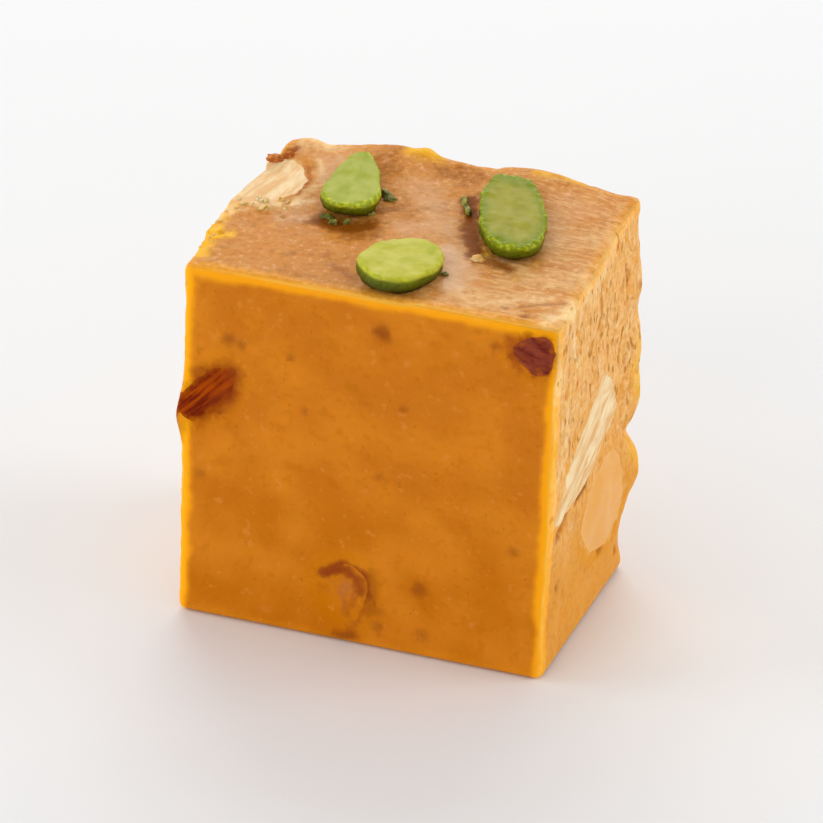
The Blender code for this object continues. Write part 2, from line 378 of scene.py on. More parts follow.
def top_height(place):
    """Return the height of the sloping top over a place."""
    across = (place.x - OFF_CENTRE.x) / CUBE_SIZE.x + 0.5
    along = (place.y - OFF_CENTRE.y) / CUBE_SIZE.y + 0.5
    front = corner((-1, -1, 1)).z * (1 - across) + corner((1, -1, 1)).z * across
    rear = corner((-1, 1, 1)).z * (1 - across) + corner((1, 1, 1)).z * across
    return front * (1 - along) + rear * along


# %% Cut the cube
bpy.ops.mesh.primitive_cube_add(size=1.0, location=(0, 0, CUBE_SIZE.z / 2))
fudge = bpy.context.object
fudge.name = "fudge_cube"
fudge.scale = CUBE_SIZE
freeze()
bpy.ops.object.mode_set(mode="EDIT")
bpy.ops.mesh.select_mode(type="VERT")
for index in range(len(fudge.data.vertices)):
    bpy.ops.mesh.select_all(action="DESELECT")
    shape = bmesh.from_edit_mesh(fudge.data)
    shape.verts.ensure_lookup_table()
    vertex = shape.verts[index]
    side = (round(math.copysign(1, vertex.co.x)), round(math.copysign(1, vertex.co.y)),
            int(vertex.co.z > CUBE_SIZE.z / 2))
    vertex.select_set(True)
    move = corner(side) - vertex.co
    bmesh.update_edit_mesh(fudge.data)
    bpy.ops.transform.translate(value=move)
bpy.ops.mesh.select_all(action="SELECT")
bpy.ops.mesh.bevel(offset=EDGE_ROUNDING, segments=3, affect="EDGES")
bpy.ops.object.mode_set(mode="OBJECT")
remesh(fudge, SKIN_SIZE)
print("the cube's skin has", len(fudge.data.vertices), "points")

# %% [markdown]
# ## Lumps, dents and bulges
#
# The rear top edge rises in the middle, a crumb sits on the rear left corner, the left top edge bulges
# where a nut lies under it, and a chunk stands out from the rear right edge over a notch. Each is one
# grab with proportional editing, listed with its place, its pull and its reach in millimetres.

# %% Pull the surface about
PULLS = {
    "rise of the rear top edge, left half": ((-6.5, 14.7, 45.8), (0.0, 0.3, 1.5), 11.0),
    "rise of the rear top edge, right half": ((9.5, 14.7, 46.0), (0.0, 0.3, 1.5), 12.5),
    "bulge of the left top edge": ((-21.2, 0.6, 44.6), (-0.9, 0.0, 0.1), 8.0),
    "hollow over the corner nut, front": ((-18.0, 2.6, 45.0), (0.0, 0.0, -0.35), 4.6),
    "hollow over the corner nut, rear": ((-18.0, 7.4, 45.0), (0.0, 0.0, -0.35), 4.6),
    "crumb on the rear left corner": ((-17.6, 14.4, 45.5), (0.1, 0.3, 0.5), 2.6),
    "dent in front of that crumb": ((-20.4, 10.6, 45.0), (0.3, 0.0, -0.2), 2.0),
    "brown bit behind the corner nut": ((-20.4, 9.8, 45.0), (-0.7, 0.0, 0.35), 1.8),
    "crumb on the rear top edge": ((-4.2, 14.7, 46.3), (0.0, 0.2, 0.5), 1.9),
    "swell of the left top edge, front": ((-21.0, -6.5, 44.3), (-0.45, 0.0, 0.15), 5.5),
    "swell of the left almond": ((-21.9, -13.6, 25.2), (-0.7, -0.2, 0.0), 4.6),
    "swell of the lower almond": ((-1.8, -14.4, 5.9), (0.0, -0.25, 0.0), 5.5),
    "swell of the right side nut": ((21.2, 5.4, 13.4), (0.6, 0.0, 0.0), 10.0),
    "rear right edge by that nut": ((21.2, 13.4, 13.0), (1.3, 0.3, 0.0), 7.0),
    "swell of the rear right edge": ((21.2, 13.8, 37.0), (0.8, 0.1, 0.0), 9.0),
    "chunk on the rear right edge, upper half": ((21.2, 13.6, 28.0), (1.2, 0.2, 0.0), 5.2),
    "chunk on the rear right edge, lower half": ((21.8, 13.6, 22.2), (1.2, 0.2, 0.0), 5.2),
    "notch under that chunk": ((21.4, 13.2, 17.4), (-0.7, -0.4, 0.0), 2.1),
    "rear right top corner": ((20.6, 14.4, 46.2), (0.35, 0.2, 0.1), 2.2),
    "chip on the rear right foot": ((20.8, 13.0, 4.2), (-0.4, -0.4, 0.0), 3.5),
    "hollow on the left side": ((-21.6, 4.0, 36.5), (0.6, 0.0, 0.0), 6.5),
    "hollow on the back": ((-1.5, 14.4, 24.5), (0.0, -0.7, 0.0), 8.0),
}
for place, move, reach in PULLS.values():
    pull(fudge, at(*place), Vector(move) * MM, reach * MM)
print("pulled", len(PULLS), "places")

# %% [markdown]
# ## The clean faces
#
# The front was sliced cleanly and only waves a little. The top is the poured surface, with long greasy
# waves. Vertex groups say which face a point belongs to, and Displace modifiers with procedural
# textures raise the relief.


# %% Relief of the front and the top
def facing(direction):
    """Return a rule that weighs a point by how squarely it faces a direction, above the foot."""
    wanted = Vector(direction)
    return lambda place, normal: max(normal.dot(wanted), 0.0) ** 2 * soft_step(0.2 * MM, 1.5 * MM, place.z)


weigh(fudge, "front", facing((0, -1, 0)))
weigh(fudge, "top", facing((0, 0, 1)))
roughen(fudge, size=7.0 * MM, depth=0.24 * MM, group="front")
roughen(fudge, size=1.6 * MM, depth=0.05 * MM, group="front")
roughen(fudge, size=4.5 * MM, depth=0.36 * MM, group="top", stretch=(1.8, 1.0, 1.0))
roughen(fudge, size=1.2 * MM, depth=0.19 * MM, group="top", stretch=(1.7, 1.0, 1.0), octaves=3)
print("raised the relief of the front and the top")

# %% [markdown]
# ## Where the nuts lie
#
# Each nut has its middle, its length, width and thickness in millimetres, the direction of its length
# and that of its width. The list comes now, because grain and pores keep clear of the nuts.

# %% Places of the nuts
NUTS = {
    "almond_left_edge": ((-19.7, -12.8, 27.1), (14.8, 5.0, 5.8), (-0.68, 0.04, -0.73), (0.73, 0.0, -0.68)),
    "almond_upper_right": ((18.9, -13.1, 41.2), (5.2, 5.4, 5.2), (-0.97, 0.05, 0.22), (0.22, 0.0, 0.97)),
    "almond_lower_front": ((-2.0, -12.6, 6.1), (9.6, 6.4, 5.4), (0.08, 0.0, -1.0), (1.0, 0.0, 0.08)),
    "almond_sliver_side": ((20.2, -2.4, 23.3), (22.0, 8.4, 5.6), (0.06, -0.93, -0.36), (0.0, -0.36, 0.93)),
    "almond_left_side": ((-19.2, 3.0, 26.5), (13.0, 8.2, 7.4), (0.1, 0.86, -0.50), (0.0, 0.50, 0.86)),
    "almond_back_lower": ((-7.5, 12.4, 13.6), (14.0, 8.0, 7.2), (0.92, 0.0, 0.38), (-0.38, 0.0, 0.92)),
    "almond_back_skin": ((-12.6, 13.0, 33.2), (7.6, 5.4, 4.8), (0.78, 0.1, -0.60), (0.60, 0.0, 0.78)),
    "nut_chip_left_side": ((-20.0, -5.0, 12.0), (6.4, 4.8, 5.2), (0.0, 0.75, 0.66), (0.0, -0.66, 0.75)),
    "cashew_top_corner": ((-18.7, 5.2, 43.6), (11.4, 8.6, 6.4), (0.18, 1.0, 0.0), (1.0, -0.18, 0.0)),
    "cashew_right_side": ((17.6, 4.6, 13.3), (16.0, 14.2, 12.4), (0.0, 0.86, -0.50), (0.0, 0.50, 0.86)),
    "cashew_back_upper": ((8.2, 12.3, 33.4), (13.6, 7.8, 7.4), (0.96, 0.0, -0.26), (0.26, 0.0, 0.96)),
}
SKIN_PIECES = ("almond_left_edge", "almond_upper_right", "almond_lower_front", "almond_back_skin")
FILMED_PIECE = "almond_lower_front"
BROKEN_PIECES = ("cashew_top_corner", "almond_sliver_side")
CLEARANCE = 1.12


def nut_axes(name):
    """Return the matrix that lays a unit nut where it belongs."""
    centre, size, along, across = NUTS[name]
    x_axis = Vector(along).normalized()
    z_axis = x_axis.cross(Vector(across)).normalized()
    turn = Matrix((x_axis, z_axis.cross(x_axis), z_axis)).transposed().to_4x4()
    half = Vector(size) * MM / 2
    return Matrix.Translation(at(*centre)) @ turn @ Matrix.Diagonal((*half, 1.0))


nut_spaces = [nut_axes(name).inverted() for name in NUTS]


def off_the_nuts(place):
    """Return how far out of the nearest nut a place is, in half nuts: 1 on a nut's surface, more outside."""
    return min((space @ place).length for space in nut_spaces)


# %% [markdown]
# ## The torn faces
#
# The right side, the left side and the back tore under the knife: they are crumbly, with waves of a few
# millimetres, grains and open pores. The waves run through fudge and nuts alike, so a copy of the form
# is kept once they are there, and trims the nuts later.

# %% Relief of the torn faces
TORN = {"right": (1, 0, 0), "left": (-1, 0, 0), "back": (0, 1, 0)}
for group, direction in TORN.items():
    weigh(fudge, group, facing(direction))
    roughen(fudge, size=3.8 * MM, depth=0.62 * MM, group=group, stretch=(1.0, 1.0, 1.3))

pick(fudge)
bpy.ops.object.duplicate()
smooth_form = bpy.context.object
smooth_form.name = "smooth_form"
for group, direction in TORN.items():
    squarely = facing(direction)
    weigh(fudge, group + "_grain", lambda place, normal: squarely(place, normal) ** 3
          * soft_step(1.0, 1.3, off_the_nuts(place)))
    roughen(fudge, size=1.1 * MM, depth=0.26 * MM, group=group + "_grain", octaves=2)
print("tore", len(TORN), "faces and kept a copy of the smooth form")

# %% [markdown]
# ## Pores
#
# Each pore is one dab, as with a sculpting brush: the points within its reach sink, most in the middle.
# The draw of places is seeded, so the cube is the same each time.

# %% Dab pores and crumbs
skin_tree = point_tree([vertex.co for vertex in fudge.data.vertices])
skin_normals = [vertex.normal.copy() for vertex in fudge.data.vertices]
sunk = [0.0] * len(skin_normals)
pore_draw = random.Random(11)


def dab(place, reach, depth, lengthen=1.0):
    """Sink the fudge about the surface point nearest to a place; lengthen makes the dab higher than wide."""
    middle = skin_tree.find(place)[0]
    for spot, index, _ in skin_tree.find_range(middle, reach * lengthen):
        away = spot - middle
        distance = Vector((away.x, away.y, away.z / lengthen)).length / reach
        if distance < 1:
            depth_here = depth * (1 - distance ** 2) ** 2
            fudge.data.vertices[index].co -= skin_normals[index] * depth_here
            sunk[index] += depth_here / MM


def dab_many(count, x_range, y_range, z_range, reach_range, depth_range, lengthen_range):
    """Dab at many places drawn from a box that lies along the surface, but not on the nuts."""
    for _ in range(count):
        place = at(*[pore_draw.uniform(*span) for span in (x_range, y_range, z_range)])
        reach, depth, lengthen = [pore_draw.uniform(*span)
                                  for span in (reach_range, depth_range, lengthen_range)]
        if off_the_nuts(place) > CLEARANCE:
            dab(place, reach * MM, depth * MM, lengthen)


RIGHT, LEFT, FRONT, BACK = (21.0, 21.0), (-21.4, -21.4), (-14.4, -14.4), (14.4, 14.4)
WIDE, DEEP, HIGH = (-19.5, 19.5), (-12.8, 12.8), (2.0, 43.5)
ROUND = (1.0, 1.0)
PORE, CRUMB = (0.12, 0.40), (-0.25, -0.10)
DABS = {
    "pores, right, high": (90, RIGHT, DEEP, (24.0, 44.0), (0.34, 0.54), (0.10, 0.36), (1.4, 3.0)),
    "pores, right, low": (24, RIGHT, DEEP, (2.0, 26.0), (0.40, 0.70), (0.10, 0.35), (1.0, 2.2)),
    "crumbs, right": (60, RIGHT, DEEP, HIGH, (0.6, 1.2), CRUMB, (1.0, 2.2)),
    "pores, left": (36, LEFT, DEEP, HIGH, (0.40, 0.75), PORE, (1.0, 2.4)),
    "fine pores, left": (130, LEFT, DEEP, HIGH, (0.35, 0.6), (0.08, 0.30), (1.0, 2.8)),
    "pores, back": (48, WIDE, BACK, HIGH, (0.40, 0.75), PORE, (1.0, 2.4)),
    "fine pores, back": (170, WIDE, BACK, HIGH, (0.35, 0.6), (0.08, 0.30), (1.0, 2.8)),
    "crumbs, left": (50, LEFT, DEEP, HIGH, (0.8, 1.6), CRUMB, (1.0, 2.2)),
    "crumbs, back": (70, WIDE, BACK, HIGH, (0.8, 1.6), CRUMB, (1.0, 2.2)),
    "dents, front": (60, WIDE, FRONT, HIGH, (0.4, 0.7), (0.03, 0.10), ROUND),
    "left top edge": (150, (-21.4, -19.4), (-12.5, 2.5), (43.3, 45.0), (0.35, 0.75), (-0.22, 0.22), ROUND),
    "rear top edge": (40, (-19.0, 19.0), (13.6, 14.6), (45.4, 46.6), (0.5, 1.1), (-0.25, 0.25), ROUND),
    "by the nut": (40, (-19.0, -14.6), (-2.0, 1.4), (44.9, 44.9), (0.3, 0.7), (-0.25, 0.45), ROUND),
}
for row in DABS.values():
    dab_many(*row)
print("dabbed at", sum(row[0] for row in DABS.values()), "places or fewer, because the nuts stay clear")

# %% Dab the peel and the slits
GROOVES = {
    "peel line on the top": ([(16.1, -11.2, 44.6), (18.3, -10.0, 44.7), (20.6, -8.8, 44.8)], 0.45, 0.22),
    "lip before the peel line": ([(16.4, -12.0, 44.6), (18.6, -10.9, 44.7), (20.6, -9.9, 44.8)], 0.7, -0.16),
    "dark dot on the top": ([(14.7, -11.9, 44.5), (14.8, -11.8, 44.5)], 0.45, 0.25),
    "second dot on the top": ([(17.1, -13.0, 44.5), (17.2, -13.0, 44.5)], 0.45, 0.25),
    "upper slit by the sliver": ([(21.0, -2.6, 20.0), (21.0, -5.6, 19.0)], 0.8, 0.7),
    "lower slit by the sliver": ([(21.0, -8.2, 18.2), (21.0, -11.6, 17.2)], 0.8, 0.6),
    "hole on the right side": ([(21.0, 4.0, 7.3), (21.0, 4.2, 7.0)], 0.9, 0.6),
    "second hole": ([(21.0, 9.8, 4.3), (21.0, 10.4, 4.0)], 0.9, 0.6),
    "third hole": ([(21.0, -10.5, 10.4), (21.0, -10.5, 9.8)], 0.8, 0.6),
    "crack behind the nut": ([(-20.9, 9.6, 45.0), (-20.0, 10.9, 45.2), (-18.8, 12.4, 45.4)], 0.65, 0.8),
}
GROOVE_STEP = 0.4 * MM
for line, reach, depth in GROOVES.values():
    points = [at(*place) for place in line]
    for start, end in zip(points, points[1:]):
        steps = max(round((end - start).length / GROOVE_STEP), 1)
        for step in range(steps):
            dab(start.lerp(end, step / steps), reach * MM, depth * MM / 2)
fudge.data.update()
write_numbers(fudge, "sunk", sunk)
finish_piece(fudge, "SMOOTH", factor=0.3, iterations=1)
print("cut", len(GROOVES), "grooves")

# %% [markdown]
# ## The nuts
#
# The cook stirs in broken almonds and cashews, and the knife cuts some of them through. Each starts as
# a sphere: a taper makes an almond of it, a bend a cashew, and a little noise takes the perfection
# away. It is laid where its solid lies, trimmed on the smooth form, and then cut out of the fudge, so
# that the two meet in a fine line as they do in the real sweet.

# %% How a nut is made
ALMOND_TAPER = -0.68
CASHEW_TAPER = -0.20
CASHEW_BEND = math.radians(50)
CUT_ANGLE = math.radians(28)
SLIVER = 0.03 * MM
WEDGE_PULLS = (((21.0, 3.0, 28.2), (0.0, -0.4, 1.2), 4.5), ((21.0, 7.6, 24.0), (0.0, 1.4, -1.2), 4.5))


def piece_name(node):
    """Return the name of the piece that stands for a node of a nut."""
    for word in ("almond", "cashew", "chip"):
        node = node.replace(word, word + "_piece")
    return node


def shape_nut(name):
    """Model one whole nut where it lies."""
    bpy.ops.mesh.primitive_uv_sphere_add(segments=72, ring_count=48, radius=1.0)
    nut = bpy.context.object
    nut.name = piece_name(name)
    nut.rotation_euler.y = math.pi / 2
    freeze()
    cashew = name.startswith("cashew")
    taper = CASHEW_TAPER if cashew else ALMOND_TAPER
    finish_piece(nut, "SIMPLE_DEFORM", deform_method="TAPER", factor=taper, deform_axis="X")
    if cashew:
        finish_piece(nut, "SIMPLE_DEFORM", deform_method="BEND", angle=CASHEW_BEND, deform_axis="Z")
    nut.matrix_world = nut_axes(name)
    freeze()
    if name == "almond_sliver_side":
        for place, move, reach in WEDGE_PULLS:
            pull(nut, at(*place), Vector(move) * MM, reach * MM)
    roughen(nut, size=2.4 * MM, depth=0.80 * MM)
    roughen(nut, size=0.8 * MM, depth=0.16 * MM)
    return nut


def way_it_shows(name):
    """Return whether a nut shows its skin, its pale flesh, or only its shape through a film of fudge."""
    if name == FILMED_PIECE:
        return "filmed"
    return "skin" if name in SKIN_PIECES else "pale"


def cut_outline(nut):
    """Return the points on the outline of a nut's cut face, where its surface turns sharply."""
    shape = bmesh.new()
    shape.from_mesh(nut.data)
    outline = {vertex.index for edge in shape.edges if edge.calc_face_angle(0.0) > CUT_ANGLE
               for vertex in edge.verts}
    shape.free()
    return [nut.data.vertices[index].co.copy() for index in sorted(outline)]


def distance_to(points):
    """Return a rule that tells how many millimetres a place is from the nearest of many points."""
    tree = point_tree(points)
    return lambda place, normal: tree.find(place)[2] / MM


# %% Model, trim and bed the nuts
nuts = {}
outlines = {"skin": [], "pale": [], "filmed": []}
for name in NUTS:
    nut = shape_nut(name)
    pick(nut)
    bpy.ops.object.duplicate()
    pocket = bpy.context.object
    finish_piece(nut, "BOOLEAN", operation="INTERSECT", solver="MANIFOLD", object=smooth_form)
    finish_piece(fudge, "BOOLEAN", operation="DIFFERENCE", solver="MANIFOLD", object=pocket)
    bpy.data.objects.remove(pocket)
    merge_slivers(nut, SLIVER)
    outline = cut_outline(nut)
    outlines[way_it_shows(name)] += outline
    write_values(nut, "to_outline", distance_to(outline))
    write_places(nut, "nut_place", nut_axes(name).inverted())
    nuts[name] = nut
    print(nut.name, len(nut.data.polygons), "faces")
for name in BROKEN_PIECES:
    weigh(nuts[name], "bare", lambda place, normal: soft_step(0.5, 0.8, max(normal.x, normal.z)))
    roughen(nuts[name], size=1.2 * MM, depth=0.26 * MM, group="bare", stretch=(1.0, 2.4, 1.0), octaves=2)
bpy.data.objects.remove(smooth_form)
merge_slivers(fudge, SLIVER)
print("the fudge now has", len(fudge.data.polygons), "faces")

# %% [markdown]
# ## The pistachio slices
#
# A pistachio slice is flat where the blade went and round below, with a darker skin round its rim. A
# box gets its upright edges rounded off so far that it becomes a blunt oval, then its lower rim is
# bevelled wide and its upper rim narrow. Remeshed finely and roughened, most along the rim, it loses
# the look of a machined part. It is laid where its solid lies.

# %% Where the slices lie
SLICES = {
    "pistachio_slice_left": {"middle": (-9.0, 5.4), "size": (13.2, 5.6, 2.5), "turn": (101.0, 2.0, 1.0),
                             "taper": 0.42, "rounding": 0.84, "rim_depth": 0.24 * MM},
    "pistachio_slice_right": {"middle": (9.8, 4.1), "size": (16.2, 7.2, 2.7), "turn": (112.0, 2.0, -2.0),
                              "taper": 0.08, "rounding": 0.84, "rim_depth": 0.32 * MM},
    "pistachio_slice_front": {"middle": (2.1, -9.8), "size": (10.4, 7.2, 3.0), "turn": (62.0, 8.0, 4.0),
                              "taper": 0.06, "rounding": 0.90, "rim_depth": 0.16 * MM},
}
SLICE_SUNK = 0.45 * MM
SLICE_SKIN_SIZE = 0.15 * MM
SLICE_BLUNTNESS = 2.45
LOWER_ROUNDING = 0.66
UPPER_ROUNDING = 0.10


def slice_axes(name):
    """Return the matrix that lays a unit slice, its cut face at height 0, where it belongs."""
    length, width, height = SLICES[name]["size"]
    heading, roll, pitch = [math.radians(angle) for angle in SLICES[name]["turn"]]
    place = at(*SLICES[name]["middle"], 0)
    place.z = top_height(place) + height * MM - SLICE_SUNK
    turn = Matrix.Rotation(heading, 4, "Z") @ Matrix.Rotation(roll, 4, "X") @ Matrix.Rotation(pitch, 4, "Y")
    size = Matrix.Diagonal((length / 2 * MM, width / 2 * MM, height * MM, 1))
    return Matrix.Translation(place) @ turn @ size


def select_edges(piece, rule):
    """Select the edges of a piece for whose two ends a rule holds."""
    bpy.ops.mesh.select_mode(type="EDGE")
    bpy.ops.mesh.select_all(action="DESELECT")
    shape = bmesh.from_edit_mesh(piece.data)
    for edge in shape.edges:
        edge.select_set(rule(*[vertex.co for vertex in edge.verts]))
    bmesh.update_edit_mesh(piece.data)


def slice_reach(name):
    """Return a rule that tells how far out a point of a slice lies, 1 at the rim of the cut face."""
    unplaced = slice_axes(name).inverted()
    taper = SLICES[name]["taper"]

    def reach(place, normal):
        own = unplaced @ place
        out = abs(own.x) ** SLICE_BLUNTNESS + abs(own.y / (1 - taper * own.x)) ** SLICE_BLUNTNESS
        return out ** (1 / SLICE_BLUNTNESS)

    return reach


def shape_slice(name):
    """Model one slice of pistachio."""
    form = SLICES[name]
    bpy.ops.mesh.primitive_cube_add(size=2.0, location=(0, 0, -0.5))
    piece = bpy.context.object
    piece.name = name.replace("slice", "piece")
    piece.scale.z = 0.5
    freeze()
    bpy.ops.object.mode_set(mode="EDIT")
    select_edges(piece, lambda a, b: abs(a.z - b.z) > 0.5)
    bpy.ops.mesh.bevel(offset=form["rounding"], segments=16, profile=0.5, affect="EDGES")
    select_edges(piece, lambda a, b: max(a.z, b.z) < -0.99)
    bpy.ops.mesh.bevel(offset=LOWER_ROUNDING, segments=10, profile=0.5, affect="EDGES")
    select_edges(piece, lambda a, b: min(a.z, b.z) > -0.01)
    bpy.ops.mesh.bevel(offset=UPPER_ROUNDING, segments=4, affect="EDGES")
    bpy.ops.object.mode_set(mode="OBJECT")
    finish_piece(piece, "SIMPLE_DEFORM", deform_method="TAPER", factor=-2 * form["taper"], deform_axis="X",
                 lock_z=True)
    piece.matrix_world = slice_axes(name)
    freeze()
    remesh(piece, SLICE_SKIN_SIZE)
    reach = slice_reach(name)
    weigh(piece, "rim", lambda place, normal: soft_step(0.75, 0.95, reach(place, normal)))
    roughen(piece, size=2.6 * MM, depth=0.50 * MM)
    roughen(piece, size=0.65 * MM, depth=form["rim_depth"], group="rim")
    roughen(piece, size=0.9 * MM, depth=0.10 * MM)
    write_places(piece, "slice_place", slice_axes(name).inverted())
    write_values(piece, "slice_reach", reach)
    return piece


slices = {name: shape_slice(name) for name in SLICES}
print("modelled", len(slices), "slices")

# %% [markdown]
# ## Crumbs
#
# The slices shed dark green flakes, the cut edge sheds bits of fudge, and two bits of brown skin lie
# behind the corner nut. Each crumb is a ball that noise makes lumpy, stretched, turned and set down on
# whatever is under it. All crumbs of a kind are joined into one piece.

# %% Scatter the crumbs
GREEN_CRUMBS = [
    ((-5.5, 5.9), (1.2, 0.5, 0.40), -35), ((-4.8, 5.3), (0.7, 0.35, 0.30), 20),
    ((-5.9, 1.6), (0.5, 0.4, 0.35), 40), ((-9.9, -0.7), (0.8, 0.4, 0.40), 15),
    ((-9.0, -1.5), (0.6, 0.4, 0.35), -20), ((-7.6, -0.9), (0.5, 0.3, 0.30), 60),
    ((3.1, 7.4), (1.1, 0.35, 0.40), -62), ((4.1, 5.6), (1.2, 0.35, 0.45), -58),
    ((6.3, -7.6), (0.45, 0.3, 0.25), 30),
]
SKIN_CRUMBS = [((-19.9, 9.5), (1.15, 0.60, 0.50), 62), ((-19.0, 10.9), (0.8, 0.5, 0.45), 40)]
FUDGE_CRUMBS = [((8.7, -3.7), (0.75, 0.6, 0.5), 20)]
CRUMB_PATCHES = {
    "along the left top edge": (12, (-21.0, -19.6), (-11.0, 1.0), (0.14, 0.27)),
    "in front of the corner nut": (16, (-19.2, -15.0), (-1.6, 1.6), (0.15, 0.34)),
}
crumb_draw = random.Random(5)
for count, x_range, y_range, half_range in CRUMB_PATCHES.values():
    for _ in range(count):
        middle = (crumb_draw.uniform(*x_range), crumb_draw.uniform(*y_range))
        half = [crumb_draw.uniform(*half_range) for _ in range(3)]
        FUDGE_CRUMBS.append((middle, half, crumb_draw.uniform(0, 180)))
RAY_HEIGHT = 5 * MM
LUMP_DEPTH, LUMP_FINENESS = 0.5, 1.2
NUB_DEPTH, NUB_FINENESS = 0.3, 3
NOISE_STEP = 3.7
CRUMB_TILT = 0.3
CRUMB_LIFT = 0.25


def surface_under(place):
    """Return the highest point of the fudge and the corner nut that lies straight under a place."""
    spots = []
    for piece in (fudge, nuts["cashew_top_corner"]):
        found, spot, _, _ = piece.ray_cast(place + Vector((0, 0, RAY_HEIGHT)), Vector((0, 0, -1)))
        if found:
            spots.append(spot)
    return max(spots, key=lambda spot: spot.z, default=place)


def scatter(name, crumbs, seed):
    """Model a crumb at each place and join the crumbs."""
    tilt_draw = random.Random(seed)
    made = []
    for (x, y), half, heading in crumbs:
        bpy.ops.mesh.primitive_ico_sphere_add(subdivisions=3, radius=1.0)
        crumb = bpy.context.object
        shift = Vector((len(made) * NOISE_STEP, 0, 0))
        for vertex in crumb.data.vertices:
            lump = LUMP_DEPTH * noise.noise(vertex.co * LUMP_FINENESS + shift)
            nub = NUB_DEPTH * noise.noise(vertex.co * NUB_FINENESS + shift)
            vertex.co *= 1 + lump + nub
        place = at(x, y, 0)
        place.z = top_height(place)
        spot = surface_under(place)
        crumb.scale = Vector(half) * MM
        tilts = [tilt_draw.uniform(-CRUMB_TILT, CRUMB_TILT) for _ in range(2)]
        crumb.rotation_euler = (*tilts, math.radians(heading))
        crumb.location = spot + Vector((0, 0, half[2] * MM * CRUMB_LIFT))
        freeze()
        made.append(crumb)
    bpy.ops.object.select_all(action="DESELECT")
    for crumb in made:
        crumb.select_set(True)
    bpy.context.view_layer.objects.active = made[0]
    bpy.ops.object.join()
    made[0].name = name
    return made[0]


bpy.context.view_layer.update()
green_crumbs = scatter("pistachio_crumbs", GREEN_CRUMBS, 3)
fudge_crumbs = scatter("fudge_crumbs", FUDGE_CRUMBS, 4)
skin_crumbs = scatter("skin_crumbs", SKIN_CRUMBS, 6)
print("scattered", len(GREEN_CRUMBS), "green crumbs,", len(FUDGE_CRUMBS), "crumbs of fudge and",
      len(SKIN_CRUMBS), "of nut skin")

# %% [markdown]
# ## What the surface knows about itself
#
# The fudge is thin at its edges and gets a painted glow there, with a painted highlight on the rounding of
# each edge; its poured top is browner and greasier, and its torn sides are paler. Dark flecks of nut skin
# show through the front, and the same dark and reddish paint puts painted shade into the slits, the holes
# and the crack. Oil has stained the top beside the slices, and along their feet the same strokes are painted
# shade; greasy patches carry a painted sheen, and pale cream marks are creamy crumbs on the left and painted
# highlight on the right edges and the right of the top. Each of these is a number stored on the points of
# the mesh, painted in strokes, from which the material then mixes. Along a nut's pocket the mesh has slanted
# normals, so the rules that tell the faces apart ask for the normal of the skin as it was before the nuts
# were cut out.

# %% Numbers for whole faces and edges
EDGE_GLOW = {
    ((-1, -1, 0), (-1, -1, 1)): 1.0,
    ((-1, -1, 1), (1, -1, 1)): 0.75,
    ((1, -1, 0), (1, -1, 1)): 0.85,
    ((1, -1, 1), (1, 1, 1)): 0.40,
    ((-1, -1, 1), (-1, 1, 1)): 0.55,
    ((-1, 1, 1), (1, 1, 1)): 0.30,
    ((1, 1, 0), (1, 1, 1)): 0.30,
    ((-1, 1, 0), (-1, 1, 1)): 0.15,
    ((-1, -1, 0), (1, -1, 0)): 0.12,
}
RIM_WIDTH = 1.05 * MM
RIM_WAVES = ((0.35, 4.0 * MM), (0.15, 0.9 * MM))


def rim_value(place, normal):
    """How much light the edges of the cube let through at a point."""
    wide = RIM_WIDTH * uneven(place, *RIM_WAVES)
    most = 0.0
    for (start, end), strength in EDGE_GLOW.items():
        away = to_line(place, corner(start), corner(end)) / wide
        most = max(most, strength * soft_step(1.6, 0.6, away))
    return most


def edge_highlight_value(place, normal):
    """Where a painted highlight goes: 1 on the rounding of an edge, where the normal leans halfway between
    two faces.
    """
    return rim_value(place, normal) * soft_step(0.42, 0.66, sorted(abs(share) for share in normal)[1])


def torn_value(place, normal):
    """1 on the right side, the left side and the back."""
    return soft_step(0.35, 0.75, max(abs(normal.x), normal.y))


def top_value(place, normal):
    """1 on the poured top."""
    return soft_step(0.45, 0.85, normal.z)


def as_uncut(rule):
    """Return a rule that reads the normal of the skin as it was before the nuts were cut out of it."""
    return lambda place, normal: rule(place, skin_normals[skin_tree.find(place)[1]])


